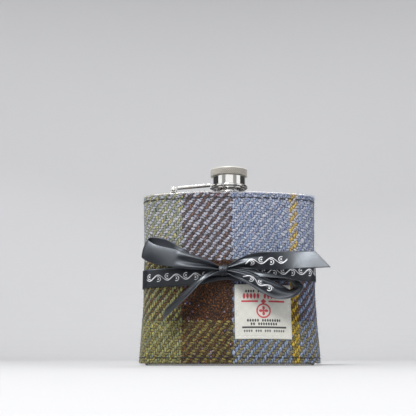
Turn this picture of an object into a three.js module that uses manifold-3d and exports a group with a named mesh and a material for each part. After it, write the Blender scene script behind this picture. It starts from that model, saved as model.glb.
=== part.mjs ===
// Hip flask: a curved pocket flask of stainless sheet with a captive screw cap, in a stitched tweed
// sleeve with a woven label, tied with a satin ribbon bow.
// Millimetres, +Z up, origin on the table under the middle of the base. The convex front faces -Y.

import * as THREE from 'three';
import { mergeVertices } from 'three/addons/utils/BufferGeometryUtils.js';
import Module from 'manifold-3d';

const wasm = await Module();
wasm.setup();

// ---------------------------------------------------------------- driving dimensions

// Steel body
const BODY_WIDTH = 94.4;
const BODY_DEPTH = 20;
const BEND_RADIUS = 98;          // of the body's middle surface, about an axis behind the flask
const CORNER_RADIUS = 8.5;       // of the four upright corners, seen from above
const END_FLAT = 1;              // least flat left between two corners at an end
const SHEET = 0.8;               // steel sheet of wall, base and shoulder
const BASE_HEIGHT = 1.8;         // pressed pan under the wall
const BASE_EDGE_RADIUS = 1.2;
const WALL_HEIGHT = 92.4;
const SHOULDER_EDGE_RADIUS = 1.6;

// Neck
const NECK_RADIUS = 6.7;
const NECK_WALL = 1;
const NECK_LENGTH = 10.4;
const NECK_FLANGE = 1.7;         // out from the tube
const NECK_FLANGE_THICKNESS = 0.8;

// Captive arm and its hinge
const HINGE_X = -31.6;
const KNUCKLE_RADIUS = 1.85;
const KNUCKLE_WIDTH = 2.7;       // the arm's own knuckle, between the bracket's two
const EAR_WIDTH = 1.6;           // each bracket knuckle
const PIN_RADIUS = 0.75;
const PIN_HEAD_RADIUS = 1.15;
const PIN_HEAD_THICKNESS = 0.45;
const FOOT_THICKNESS = 0.7;
const FOOT_REACH = 4.7;          // from the pin towards the neck
const FOOT_HEEL = 1.9;           // from the pin away from the neck
const ARM_WIDTH = 4.8;
const ARM_THICKNESS = 1.1;
const ARM_RISE = 1.95;           // the strip climbs by this much from the hinge to the cap
const RING_OVERHANG = 1.2;       // out past the cap's shank
const RING_THICKNESS = 1.2;

// Screw cap, sized outwards from the neck
const INSERT_WALL = 0.35;
const FERRULE_WALL = 0.41;       // at the groove where the arm's ring turns
const LIP_CATCH = 0.4;           // rolled edge that keeps the ring on, past the ring's bore
const SHANK_CATCH = 0.5;         // the shank above the groove, past the ring's bore
const HEAD_OVERHANG = 1.2;       // knurled head, out past the shank
const HEAD_HEIGHT = 3.8;
const HEAD_PLATE = 2.2;
const HEAD_EDGE_RADIUS = 0.45;
const SHANK_LENGTH = 5;
const UNDERCUT_WALL = 0.51;
const UNDERCUT_HEIGHT = 0.55;
const LIP_HEIGHT = 0.7;
const SEAL_THICKNESS = 1.15;

// Sleeve, label and thread
const SLEEVE_BOTTOM = 1.2;
const SLEEVE_OVER = 0.52;        // upper hem above the wall, round the shoulder's edge
const LINING_THICKNESS = 0.3;
const SLEEVE_FLARE = 3.3;        // outer face of the tweed, out from the steel, at the lower hem
const SLEEVE_WAIST = 1.35;       // the same where the ribbon pulls it in
const SLEEVE_HEAD = 2.0;         // and at the upper hem
const WAIST_LOW = 40;
const WAIST_HIGH = 62;
const STITCH_INSET = 3;          // stitch line to hem
const THREAD = 0.7;
const LABEL_WIDTH = 31.4;
const LABEL_HEIGHT = 29.6;
const LABEL_LEFT = 2.4;          // along the curved front, from the middle
const LABEL_BOTTOM = 13.9;
const LABEL_THICKNESS = 0.4;
const LABEL_STITCH_INSET = 1.3;
const LABEL_STITCH_WIDTH = 0.5;

// Ribbon
const RIBBON_WIDTH = 10.2;
const RIBBON_THICKNESS = 0.4;
const BAND_MIDDLE = 49.4;
const BAND_SLOPE = 0.046;        // the band climbs to the right
const KNOT_X = -3.8;
const KNOT_HALF = [3.2, 2.6, 4.2];
const KNOT_RISE = 1.3;           // above the band's middle

// Clearances
const SEAM_GAP = 0.04;           // between pieces that are welded, pressed or glued together
const PIN_CLEARANCE = 0.1;
const EAR_CLEARANCE = 0.15;
const RING_CLEARANCE = 0.15;
const RING_PLAY = 0.1;
const RISER_CLEARANCE = 0.45;    // arm to the cap's shank
const SEAL_CLEARANCE = 0.1;
const SOFT_GAP = 0.15;           // between cloth layers
const SWING_CLEARANCE = 1.15;    // round the neck, so that the cap can swing off it on the arm

// ---------------------------------------------------------------- places that follow from them

const wallBottom = BASE_HEIGHT + SEAM_GAP;
const wallTop = wallBottom + WALL_HEIGHT;
const shoulderBottom = wallTop + SEAM_GAP;
const shoulderTop = shoulderBottom + SHOULDER_EDGE_RADIUS;
const flangeBottom = shoulderTop + SEAM_GAP;
const sleeveTop = shoulderBottom + SLEEVE_OVER;
const neckTop = flangeBottom + NECK_LENGTH;
const neckBore = NECK_RADIUS - NECK_WALL;
const insertBore = NECK_RADIUS + SWING_CLEARANCE;
const insertOuter = insertBore + INSERT_WALL;
const ferruleBore = insertOuter + SEAM_GAP;
const undercutRadius = ferruleBore + UNDERCUT_WALL;
const grooveRadius = ferruleBore + FERRULE_WALL;
const ringInner = grooveRadius + RING_CLEARANCE;
const lipRadius = ringInner + LIP_CATCH;
const shankRadius = ringInner + SHANK_CATCH;
const ringOuter = shankRadius + RING_OVERHANG;
const capRadius = shankRadius + HEAD_OVERHANG;
const sealBottom = neckTop + SEAL_CLEARANCE;
const sealTop = sealBottom + SEAL_THICKNESS;
const headCeiling = sealTop + SEAM_GAP;
const headTop = headCeiling + HEAD_PLATE;
const headBottom = headTop - HEAD_HEIGHT;
const shankTop = headBottom - UNDERCUT_HEIGHT;
const grooveTop = shankTop - SHANK_LENGTH;
const ringTop = grooveTop - RING_PLAY;
const ringBottom = ringTop - RING_THICKNESS;
const lipTop = ringBottom - RING_PLAY;
const capBottom = lipTop - LIP_HEIGHT;
const hingeZ = shoulderTop + KNUCKLE_RADIUS + EAR_CLEARANCE;
const clothInner = SEAM_GAP + LINING_THICKNESS + SEAM_GAP;

// ---------------------------------------------------------------- geometry helpers

const LATHE_SEGMENTS = 44;

const bendFront = BEND_RADIUS + BODY_DEPTH / 2;
const bendBack = BEND_RADIUS - BODY_DEPTH / 2;
const cornerRadius = Math.min(CORNER_RADIUS, (BODY_DEPTH - END_FLAT) / 2);
const cornerFront = bendFront - cornerRadius;
const cornerBack = bendBack + cornerRadius;
const cornerAngle = Math.asin((BODY_WIDTH / 2 - cornerRadius) / cornerFront);

// A point at an angle about the bend's axis, measured from -Y towards +X.
function bendPoint(radius, angle) {
  return new THREE.Vector2(radius * Math.sin(angle), BEND_RADIUS - radius * Math.cos(angle));
}

// Points of an arc about a centre, both ends included.
function arcPoints(centre, radius, from, to, steps) {
  const points = [];
  for (let i = 0; i <= steps; i += 1) {
    const angle = from + ((to - from) * i) / steps;
    points.push(new THREE.Vector2(centre.x + radius * Math.cos(angle), centre.y + radius * Math.sin(angle)));
  }
  return points;
}

// The body's plan, grown by an offset: front arc, two right corners, back arc, two left corners,
// anticlockwise from above. A taut outline spans the hollow back with a straight run.
function bodyPlan(offset, taut = false) {
  const quarter = Math.PI / 2;
  const bend = new THREE.Vector2(0, BEND_RADIUS);
  const radius = cornerRadius + offset;
  const a = cornerAngle;
  const backEnd = taut ? quarter : quarter + a;
  const corners = (r, side) => bendPoint(r, side * a);
  const front = arcPoints(bend, bendFront + offset, -quarter - a, -quarter + a, 20);
  const frontRight = arcPoints(corners(cornerFront, 1), radius, a - quarter, a, 6).slice(1);
  const backRight = arcPoints(corners(cornerBack, 1), radius, a, backEnd, 6);
  const back = taut ? [] : arcPoints(bend, bendBack - offset, -quarter + a, -quarter - a, 16).slice(1, -1);
  const backLeft = arcPoints(corners(cornerBack, -1), radius, Math.PI - backEnd, Math.PI - a, 6);
  const frontLeft = arcPoints(corners(cornerFront, -1), radius, Math.PI - a, Math.PI + quarter - a, 6);
  return [...front, ...frontRight, ...backRight, ...back, ...backLeft, ...frontLeft.slice(0, -1)];
}

function meshFrom(points, triangles) {
  const geometry = new THREE.BufferGeometry();
  geometry.setAttribute('position', new THREE.Float32BufferAttribute(points.flat(), 3));
  geometry.setIndex(triangles.flat());
  return geometry;
}

// A closed profile of [offset, height] pairs carried round the plan: a band, wall or hem. The
// profile runs anticlockwise with the offset to the right and the height up.
function planBand(profile, taut = false, lift = () => 0) {
  const rings = profile.map(([offset, z]) => bodyPlan(offset, taut).map((p) => [p.x, p.y, z + lift(p)]));
  const count = rings[0].length;
  const triangles = [];
  for (let j = 0; j < rings.length; j += 1) {
    const k = (j + 1) % rings.length;
    for (let i = 0; i < count; i += 1) {
      const n = (i + 1) % count;
      const [a, b, c, d] = [j * count + i, j * count + n, k * count + n, k * count + i];
      triangles.push([a, b, c], [a, c, d]);
    }
  }
  return meshFrom(rings.flat(), triangles);
}

// A stack of plan outlines, [offset, height] from the bottom up, closed by flat caps.
function planStack(levels) {
  const outlines = levels.map(([offset]) => bodyPlan(offset));
  const count = outlines[0].length;
  const points = outlines.flatMap((outline, j) => outline.map((p) => [p.x, p.y, levels[j][1]]));
  const triangles = [];
  for (let j = 0; j < levels.length - 1; j += 1) {
    for (let i = 0; i < count; i += 1) {
      const n = (i + 1) % count;
      const [a, b, c, d] = [j * count + i, j * count + n, (j + 1) * count + n, (j + 1) * count + i];
      triangles.push([a, b, c], [a, c, d]);
    }
  }
  const top = (levels.length - 1) * count;
  const lid = THREE.ShapeUtils.triangulateShape(outlines[levels.length - 1], []);
  const floor = THREE.ShapeUtils.triangulateShape(outlines[0], []);
  lid.forEach(([a, b, c]) => triangles.push([top + a, top + b, top + c]));
  floor.forEach(([a, b, c]) => triangles.push([a, c, b]));
  return meshFrom(points, triangles);
}

// A patch lying on the convex front, from arc length a0 to a1 and from z0 to z1, between two
// distances out from the steel, each a function of the height.
function frontPatch(a0, a1, z0, z1, inner, outer, across = 12, up = 8) {
  const points = [];
  for (const out of [inner, outer]) {
    for (let j = 0; j <= up; j += 1) {
      const z = z0 + ((z1 - z0) * j) / up;
      for (let i = 0; i <= across; i += 1) {
        const angle = (a0 + ((a1 - a0) * i) / across) / bendFront;
        const p = bendPoint(bendFront + out(z), angle);
        points.push([p.x, p.y, z]);
      }
    }
  }
  const row = across + 1;
  const layer = row * (up + 1);
  const triangles = [];
  const quad = (a, b, c, d) => triangles.push([a, b, c], [a, c, d]);
  for (let j = 0; j < up; j += 1) {
    for (let i = 0; i < across; i += 1) {
      const a = j * row + i;
      quad(layer + a, layer + a + 1, layer + a + row + 1, layer + a + row);
      quad(a, a + row, a + row + 1, a + 1);
    }
    const left = j * row;
    const right = left + across;
    quad(left, layer + left, layer + left + row, left + row);
    quad(right, right + row, layer + right + row, layer + right);
  }
  for (let i = 0; i < across; i += 1) {
    const high = up * row + i;
    quad(i, i + 1, layer + i + 1, layer + i);
    quad(high, layer + high, layer + high + 1, high + 1);
  }
  return meshFrom(points, triangles);
}

// A ribbon through stations of a centre point and an edge vector, both smoothed by a spline.
function ribbonStrip(stations, steps = 24) {
  const middle = new THREE.CatmullRomCurve3(stations.map(([p]) => new THREE.Vector3(...p)));
  const halves = new THREE.CatmullRomCurve3(stations.map(([, h]) => new THREE.Vector3(...h)));
  const points = [];
  for (let i = 0; i <= steps; i += 1) {
    const centre = middle.getPoint(i / steps);
    const half = halves.getPoint(i / steps).multiplyScalar(RIBBON_WIDTH / 2);
    const normal = middle.getTangent(i / steps).cross(half).normalize().multiplyScalar(RIBBON_THICKNESS / 2);
    for (const [w, t] of [[-1, -1], [1, -1], [1, 1], [-1, 1]]) {
      const p = centre.clone().addScaledVector(half, w).addScaledVector(normal, t);
      points.push([p.x, p.y, p.z]);
    }
  }
  const triangles = [];
  for (let i = 0; i < steps; i += 1) {
    for (let k = 0; k < 4; k += 1) {
      const [a, b] = [i * 4 + k, i * 4 + ((k + 1) % 4)];
      triangles.push([a, b, b + 4], [a, b + 4, a + 4]);
    }
  }
  const end = steps * 4;
  triangles.push([0, 3, 2], [0, 2, 1], [end, end + 1, end + 2], [end, end + 2, end + 3]);
  return meshFrom(points, triangles);
}

// A profile of [radius, height] pairs turned about +Z.
function turned(profile, segments = LATHE_SEGMENTS) {
  return new THREE.LatheGeometry(profile.map(([r, z]) => new THREE.Vector2(r, z)), segments)
    .rotateX(Math.PI / 2);
}

function rod(radius, y0, y1, segments = 24) {
  return new THREE.CylinderGeometry(radius, radius, y1 - y0, segments).translate(0, (y0 + y1) / 2, 0);
}

function post(radius, z0, z1, segments = LATHE_SEGMENTS) {
  return new THREE.CylinderGeometry(radius, radius, z1 - z0, segments)
    .rotateX(Math.PI / 2)
    .translate(0, 0, (z0 + z1) / 2);
}

// A box between two corners.
function block(low, high) {
  const [x, y, z] = high.map((value, i) => value - low[i]);
  return new THREE.BoxGeometry(x, y, z).translate(low[0] + x / 2, low[1] + y / 2, low[2] + z / 2);
}

// A side view of [x, z] points, extruded by a width that is centred on y = 0.
function sideSlab(outline, width) {
  const shape = new THREE.Shape(outline.map(([x, z]) => new THREE.Vector2(x, z)));
  return new THREE.ExtrudeGeometry(shape, { depth: width, bevelEnabled: false })
    .rotateX(Math.PI / 2)
    .translate(0, width / 2, 0);
}

function solid(geometry) {
  const bare = geometry.clone();
  bare.deleteAttribute('normal');
  bare.deleteAttribute('uv');
  const merged = mergeVertices(bare, 1e-4);
  return new wasm.Manifold(new wasm.Mesh({
    numProp: 3,
    vertProperties: new Float32Array(merged.attributes.position.array),
    triVerts: new Uint32Array(merged.index.array),
  }));
}

function geometryOf(manifold) {
  const mesh = manifold.getMesh();
  const geometry = new THREE.BufferGeometry();
  geometry.setAttribute('position', new THREE.BufferAttribute(mesh.vertProperties, 3));
  geometry.setIndex(new THREE.BufferAttribute(mesh.triVerts, 1));
  return geometry;
}

// ---------------------------------------------------------------- materials

const steel = { color: 0xd2d0cb, roughness: 0.12, metalness: 1 };
const knurled = { color: 0xbdb3a4, roughness: 0.35, metalness: 1 };
const satin = { color: 0x16181d, roughness: 0.38, metalness: 0 };
const thread = { color: 0x15161a, roughness: 0.8, metalness: 0 };

const flask = new THREE.Group();
flask.name = 'hip_flask';

function add(name, geometry, look, place = [0, 0, 0]) {
  const mesh = new THREE.Mesh(geometry, new THREE.MeshStandardMaterial(look));
  mesh.name = name;
  mesh.position.set(...place);
  mesh.geometry.computeVertexNormals();
  flask.add(mesh);
}

// ---------------------------------------------------------------- steel body

// Quarter-round levels of a pressed edge: from the upright side, turning in by the radius.
function roundedEdge(radius, zSide, zFlat, inset, steps = 3) {
  const levels = [];
  for (let i = 0; i <= steps; i += 1) {
    const angle = (Math.PI / 2) * (i / steps);
    levels.push([
      -inset - radius * (1 - Math.cos(angle)),
      zSide + (zFlat - zSide) * Math.sin(angle),
    ]);
  }
  return levels;
}

function basePlate() {
  const outer = [...roundedEdge(BASE_EDGE_RADIUS, BASE_EDGE_RADIUS, 0, 0).reverse(), [0, BASE_HEIGHT]];
  const inner = [[-SHEET - 0.4, SHEET], [-SHEET, SHEET + 0.4], [-SHEET, BASE_HEIGHT + 1]];
  return geometryOf(solid(planStack(outer)).subtract(solid(planStack(inner))));
}

function bodyWall() {
  return planBand([[-SHEET, wallBottom], [0, wallBottom], [0, wallTop], [-SHEET, wallTop]]);
}

function shoulderPlate() {
  const underside = shoulderTop - SHEET;
  const innerRadius = SHOULDER_EDGE_RADIUS - SHEET;
  const outer = roundedEdge(SHOULDER_EDGE_RADIUS, shoulderBottom, shoulderTop, 0);
  const inner = [
    [-SHEET, shoulderBottom - 1],
    ...roundedEdge(innerRadius, shoulderBottom, underside, SHEET),
  ];
  return geometryOf(solid(planStack(outer))
    .subtract(solid(planStack(inner)))
    .subtract(solid(post(neckBore, underside - 1, shoulderTop + 1))));
}

function neck() {
  const flangeTop = flangeBottom + NECK_FLANGE_THICKNESS;
  return turned([
    [neckBore, flangeBottom],
    [NECK_RADIUS + NECK_FLANGE, flangeBottom],
    [NECK_RADIUS + NECK_FLANGE, flangeTop],
    [NECK_RADIUS, flangeTop],
    [NECK_RADIUS, neckTop - 0.3],
    [NECK_RADIUS - 0.3, neckTop],
    [neckBore, neckTop],
    [neckBore, flangeBottom],
  ]);
}

add('base_plate', basePlate(), steel);
add('body_wall', bodyWall(), steel);
add('shoulder_plate', shoulderPlate(), steel);
add('neck', neck(), steel);

// ---------------------------------------------------------------- hinge and captive arm

// Both are drawn about the pin's axis and placed at the hinge.
const hinge = [HINGE_X, 0, hingeZ];
const earInner = KNUCKLE_WIDTH / 2 + EAR_CLEARANCE;
const earOuter = earInner + EAR_WIDTH;
const knuckleSweep = KNUCKLE_RADIUS + EAR_CLEARANCE;

function hingeBracket() {
  const footBottom = flangeBottom - hingeZ;
  const footTop = footBottom + FOOT_THICKNESS;
  let body = solid(block([-FOOT_HEEL, -earOuter, footBottom], [FOOT_REACH, earOuter, footTop]));
  const web = KNUCKLE_RADIUS * 0.8;
  for (const [y0, y1] of [[-earOuter, -earInner], [earInner, earOuter]]) {
    body = body
      .add(solid(rod(KNUCKLE_RADIUS, y0, y1)))
      .add(solid(block([-web, y0, footBottom], [web, y1, 0])));
  }
  return geometryOf(body
    .subtract(solid(block([-FOOT_HEEL - 1, -earInner, footBottom - 1], [knuckleSweep + 0.3, earInner, 3])))
    .subtract(solid(rod(PIN_RADIUS + SEAM_GAP, -earOuter - 1, earOuter + 1))));
}

function hingePin() {
  const end = earOuter + SEAM_GAP;
  const tip = end + PIN_HEAD_THICKNESS;
  const profile = [
    [0, -tip], [PIN_HEAD_RADIUS - 0.2, -tip], [PIN_HEAD_RADIUS, -tip + 0.2], [PIN_HEAD_RADIUS, -end],
    [PIN_RADIUS, -end], [PIN_RADIUS, end],
    [PIN_HEAD_RADIUS, end], [PIN_HEAD_RADIUS, tip - 0.2], [PIN_HEAD_RADIUS - 0.2, tip], [0, tip],
  ];
  return turned(profile, 24).rotateX(-Math.PI / 2);
}

// A knuckle, a tongue that leaves the top of it, a strip that climbs to the cap, a riser down the
// shank's side, and the ring in the shank's groove.
function captiveArm() {
  const riserFace = -HINGE_X - shankRadius - RISER_CLEARANCE;
  const low = ringBottom - hingeZ;
  const high = ringTop - hingeZ;
  const startTop = KNUCKLE_RADIUS;
  const endTop = KNUCKLE_RADIUS + ARM_RISE;
  const topAt = (x) => startTop + ((endTop - startTop) * x) / riserFace;
  const wideStart = knuckleSweep + 0.4;
  const riserBack = riserFace - ARM_THICKNESS;
  const strip = sideSlab([
    [wideStart, topAt(wideStart) - ARM_THICKNESS],
    [riserBack, endTop - ARM_THICKNESS],
    [riserBack, low],
    [riserFace, low],
    [riserFace, endTop],
    [wideStart, topAt(wideStart)],
  ], ARM_WIDTH);
  const tongue = sideSlab([
    [0, startTop - ARM_THICKNESS],
    [wideStart + 0.6, topAt(wideStart + 0.6) - ARM_THICKNESS],
    [wideStart + 0.6, topAt(wideStart + 0.6)],
    [0, startTop],
  ], KNUCKLE_WIDTH);
  const half = KNUCKLE_WIDTH / 2;
  const ring = post(ringOuter, low, high).translate(-HINGE_X, 0, 0);
  const eye = post(ringInner, low - 1, high + 0.01).translate(-HINGE_X, 0, 0);
  const shankWay = post(shankRadius + 0.2, high - 0.01, endTop + 1).translate(-HINGE_X, 0, 0);
  return geometryOf(solid(strip)
    .add(solid(tongue))
    .add(solid(rod(KNUCKLE_RADIUS, -half, half)))
    .add(solid(ring))
    .subtract(solid(eye))
    .subtract(solid(shankWay))
    .subtract(solid(rod(PIN_RADIUS + PIN_CLEARANCE, -half - 1, half + 1))));
}

add('hinge_bracket', hingeBracket(), steel, hinge);
add('hinge_pin', hingePin(), steel, hinge);
add('captive_arm', captiveArm(), steel, hinge);

// ---------------------------------------------------------------- screw cap

function capHead() {
  const recess = undercutRadius + SEAM_GAP;
  const edge = HEAD_EDGE_RADIUS;
  return turned([
    [0, headCeiling],
    [recess, headCeiling],
    [recess, headBottom],
    [capRadius - edge, headBottom],
    [capRadius, headBottom + edge],
    [capRadius, headTop - edge],
    [capRadius - edge * 0.3, headTop - edge * 0.3],
    [capRadius - edge, headTop],
    [0, headTop],
  ]);
}

function capFerrule() {
  return turned([
    [ferruleBore, capBottom],
    [lipRadius, capBottom],
    [lipRadius, lipTop],
    [grooveRadius, lipTop],
    [grooveRadius, grooveTop],
    [shankRadius, grooveTop],
    [shankRadius, shankTop],
    [undercutRadius, shankTop],
    [undercutRadius, sealTop],
    [ferruleBore, sealTop],
    [ferruleBore, capBottom],
  ]);
}

function capInsert() {
  return turned([
    [insertBore, capBottom],
    [insertOuter, capBottom],
    [insertOuter, sealBottom - SEAM_GAP],
    [insertBore, sealBottom - SEAM_GAP],
    [insertBore, capBottom],
  ]);
}

add('cap_head', capHead(), knurled);
add('cap_ferrule', capFerrule(), steel);
add('cap_thread_insert', capInsert(), steel);
add('cap_seal', post(insertOuter, sealBottom, sealTop), { color: 0xe9e6dc, roughness: 0.5, metalness: 0 });

// ---------------------------------------------------------------- sleeve

// How far the tweed's outer face stands out from the steel at a height: straight runs from the
// flared lower hem to the waist under the ribbon and up to the upper hem.
function clothFace(z) {
  const run = (z0, z1, o0, o1) => o0 + ((o1 - o0) * (z - z0)) / (z1 - z0);
  if (z < WAIST_LOW) return run(SLEEVE_BOTTOM, WAIST_LOW, SLEEVE_FLARE, SLEEVE_WAIST);
  if (z < WAIST_HIGH) return SLEEVE_WAIST;
  return run(WAIST_HIGH, sleeveTop, SLEEVE_WAIST, SLEEVE_HEAD);
}

const stitchLow = SLEEVE_BOTTOM + STITCH_INSET;
const stitchHigh = sleeveTop - STITCH_INSET;
const channelHalf = THREAD / 2 + SEAM_GAP;
const channelDepth = THREAD * 0.7;

function channel(z) {
  const low = z - channelHalf;
  const high = z + channelHalf;
  const floor = clothFace(z) - channelDepth;
  return [[clothFace(low), low], [floor, low], [floor, high], [clothFace(high), high]];
}

function sleeve() {
  return planBand([
    [clothInner, SLEEVE_BOTTOM],
    [clothFace(SLEEVE_BOTTOM), SLEEVE_BOTTOM],
    ...channel(stitchLow),
    [clothFace(WAIST_LOW), WAIST_LOW],
    [clothFace(WAIST_HIGH), WAIST_HIGH],
    ...channel(stitchHigh),
    [clothFace(sleeveTop), sleeveTop],
    [clothInner, sleeveTop],
  ]);
}

function lining() {
  const inner = SEAM_GAP;
  const outer = inner + LINING_THICKNESS;
  return planBand([[inner, wallBottom], [outer, wallBottom], [outer, wallTop], [inner, wallTop]]);
}

function stitchRing(z) {
  const inner = clothFace(z) - channelDepth + SEAM_GAP;
  const outer = inner + THREAD;
  const [low, high] = [z - THREAD / 2, z + THREAD / 2];
  return planBand([[inner, low], [outer, low], [outer, high], [inner, high]]);
}

const out = (extra) => (z) => clothFace(z) + extra;
const labelRight = LABEL_LEFT + LABEL_WIDTH;
const labelTop = LABEL_BOTTOM + LABEL_HEIGHT;

function label() {
  const face = SOFT_GAP + LABEL_THICKNESS;
  return frontPatch(LABEL_LEFT, labelRight, LABEL_BOTTOM, labelTop, out(SOFT_GAP), out(face));
}

// A frame of thread lying on the label just inside its edges.
function labelStitch() {
  const face = SOFT_GAP + LABEL_THICKNESS;
  const near = LABEL_STITCH_INSET;
  const far = near + LABEL_STITCH_WIDTH;
  const patch = (inset, low, high) => solid(frontPatch(
    LABEL_LEFT + inset,
    labelRight - inset,
    LABEL_BOTTOM + inset,
    labelTop - inset,
    out(face + low),
    out(face + high),
  ));
  return geometryOf(patch(near, SOFT_GAP, SOFT_GAP + LABEL_STITCH_WIDTH).subtract(patch(far, 0, 1.5)));
}

// The sleeve's two ends meet down the middle of the hollow back, under one run of thread.
function backSeam() {
  const y0 = BEND_RADIUS - bendBack;
  const low = stitchLow + THREAD;
  const high = stitchHigh - THREAD;
  const face = (z) => y0 + clothFace(z) + SOFT_GAP;
  const outline = [low, WAIST_LOW, WAIST_HIGH, high];
  const near = outline.map((z) => new THREE.Vector2(face(z), z));
  const far = outline.map((z) => new THREE.Vector2(face(z) + THREAD / 2, z)).reverse();
  return new THREE.ExtrudeGeometry(new THREE.Shape([...near, ...far]), { depth: THREAD, bevelEnabled: false })
    .rotateX(Math.PI / 2)
    .rotateZ(Math.PI / 2)
    .translate(-THREAD / 2, 0, 0);
}

const tweed = { color: 0x6d6a58, roughness: 1, metalness: 0 };
add('sleeve_tweed', sleeve(), tweed);
add('sleeve_lining', lining(), { color: 0x2b2a28, roughness: 1, metalness: 0 });
add('top_stitch_thread', stitchRing(stitchHigh), thread);
add('bottom_stitch_thread', stitchRing(stitchLow), thread);
add('back_seam_thread', backSeam(), thread);
add('woven_label', label(), { color: 0xe4e1d8, roughness: 0.8, metalness: 0 });
add('label_stitch_thread', labelStitch(), { color: 0xf1efe9, roughness: 0.8, metalness: 0 });

// ---------------------------------------------------------------- ribbon

const bandInner = SLEEVE_WAIST + SOFT_GAP * 2;
const bandFront = -(BODY_DEPTH / 2 + bandInner + RIBBON_THICKNESS);
const knotY = bandFront - SOFT_GAP - KNOT_HALF[1];
const knotZ = BAND_MIDDLE + KNOT_RISE;
const bow = (x, y, z) => [x, knotY + y, knotZ + z];

function ribbonBand() {
  const outer = bandInner + RIBBON_THICKNESS;
  const [low, high] = [BAND_MIDDLE - RIBBON_WIDTH / 2, BAND_MIDDLE + RIBBON_WIDTH / 2];
  const profile = [[bandInner, low], [outer, low], [outer, high], [bandInner, high]];
  return planBand(profile, true, (p) => BAND_SLOPE * p.x);
}

function ribbonKnot() {
  return new THREE.SphereGeometry(1, 16, 12)
    .scale(...KNOT_HALF)
    .translate(KNOT_X, knotY, knotZ);
}

// Each free run starts beside the knot. Stations are [centre, edge], the edge as a share of half the
// ribbon's width: short where the ribbon is bunched.
const loopLeft = [
  [bow(-8.2, -1.4, 1.6), [0.04, 0, 0.25]],
  [bow(-13, -2.6, 2.7), [0.12, 0.02, 0.53]],
  [bow(-21, -4, 4.1), [0.18, 0.12, 0.8]],
  [bow(-31.5, -5, 6.3), [0.24, 0.14, 0.95]],
  [bow(-41, -4.6, 8.4), [0.22, 0.02, 0.98]],
  [bow(-46.3, -2.2, 11.7), [0.31, 0, 0.96]],
  [bow(-43.8, 0.4, 13.4), [0.31, 0.06, 0.96]],
  [bow(-36, 1.2, 12.4), [0.12, 0.04, 0.98]],
  [bow(-27, 1.2, 8.3), [-0.12, 0.02, 0.92]],
  [bow(-18, 0.9, 4.2), [-0.06, 0.02, 0.55]],
  [bow(-9, 0.4, 2.6), [0, 0, 0.25]],
];
const loopRight = [
  [bow(0.6, -1.6, -0.9), [0.06, 0, 0.25]],
  [bow(8, -3, -3.2), [0.25, 0.1, 0.6]],
  [bow(16, -3.6, -6.8), [0.34, 0.26, 0.72]],
  [bow(23.5, -2.6, -10.8), [0.28, 0.62, 0.62]],
  [bow(30.5, 0, -13.6), [0.06, 0.96, 0.1]],
  [bow(36.4, 1.4, -12.2), [0, 0.98, 0.05]],
  [bow(38.4, 2, -9), [0, 0.98, 0.05]],
  [bow(35.4, 1.6, -5.9), [0, 0.98, 0.05]],
  [bow(29.5, 0.6, -3.7), [0, 0.92, 0.08]],
  [bow(21, 0, -2.4), [0, 0.7, 0.14]],
  [bow(10, 0.2, -1.3), [0, 0.42, 0.2]],
  [bow(0.9, 0, -0.9), [0.04, 0.1, 0.2]],
];
const tailRight = [
  [bow(0.6, -0.4, 2.2), [0, 0, 0.24]],
  [bow(7.9, -0.3, 4.2), [-0.06, 0, 0.71]],
  [bow(16, 0, 5.2), [0, 0.03, 0.94]],
  [bow(30, 0, 5.4), [0, 0.2, 0.98]],
  [bow(43, 1.2, 5.8), [-0.31, 0.24, 0.95]],
  [bow(50, 3.2, 5.9), [-0.75, 0.2, 0.94]],
];
const tailLeft = [
  [bow(-8.4, -0.8, -1.3), [0.08, -0.14, 0.24]],
  [bow(-14.5, -2.2, -4.2), [-0.18, -0.51, 0.33]],
  [bow(-24.5, -2, -13.4), [-0.29, -0.86, 0.37]],
  [bow(-35.8, 0.8, -23.8), [-0.08, -0.92, 0.35]],
];

add('ribbon_band', ribbonBand(), satin);
add('ribbon_knot', ribbonKnot(), satin);
add('ribbon_loop_left', ribbonStrip(loopLeft, 36), satin);
add('ribbon_loop_right', ribbonStrip(loopRight, 36), satin);
add('ribbon_tail_right', ribbonStrip(tailRight, 16), satin);
add('ribbon_tail_left', ribbonStrip(tailLeft, 14), satin);

export default flask;
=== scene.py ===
"""Hip flask in a tweed sleeve, tied with a satin ribbon bow.

Laid out as a Blender add-on and run as a script: every operator makes one piece, or one group of
like pieces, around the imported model. All lengths are in metres, +Z is up, and the convex front
faces -Y.
"""

import math

import bmesh
import bpy
import numpy as np
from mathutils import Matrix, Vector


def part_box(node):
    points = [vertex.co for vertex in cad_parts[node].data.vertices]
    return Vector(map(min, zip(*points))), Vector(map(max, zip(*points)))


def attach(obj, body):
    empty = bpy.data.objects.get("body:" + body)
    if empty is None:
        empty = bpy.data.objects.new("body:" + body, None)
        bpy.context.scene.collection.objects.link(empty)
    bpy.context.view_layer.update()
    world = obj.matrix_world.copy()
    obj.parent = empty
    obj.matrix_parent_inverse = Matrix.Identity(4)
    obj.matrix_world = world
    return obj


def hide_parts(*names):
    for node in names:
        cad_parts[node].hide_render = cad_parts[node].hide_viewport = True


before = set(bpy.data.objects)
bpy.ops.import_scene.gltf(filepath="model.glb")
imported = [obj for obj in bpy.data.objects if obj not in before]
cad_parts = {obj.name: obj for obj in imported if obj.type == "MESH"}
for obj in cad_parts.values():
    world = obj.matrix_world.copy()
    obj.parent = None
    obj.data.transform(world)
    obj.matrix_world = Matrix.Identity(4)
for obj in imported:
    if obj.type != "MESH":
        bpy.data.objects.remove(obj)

bl_info = {
    "name": "Hip flask",
    "version": (1, 0, 0),
    "blender": (4, 5, 0),
    "location": "View3D > Sidebar > Hip flask",
    "description": "Makes a tweed covered hip flask with a captive cap and a ribbon bow",
    "category": "Add Mesh",
}

MM = 0.001


# ---------------------------------------------------------------- places taken from the frame

def box_mm(node):
    """Lowest and highest corner of a CAD node, in millimetres, as two arrays."""
    low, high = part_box(node)
    return np.array(low) / MM, np.array(high) / MM


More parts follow.
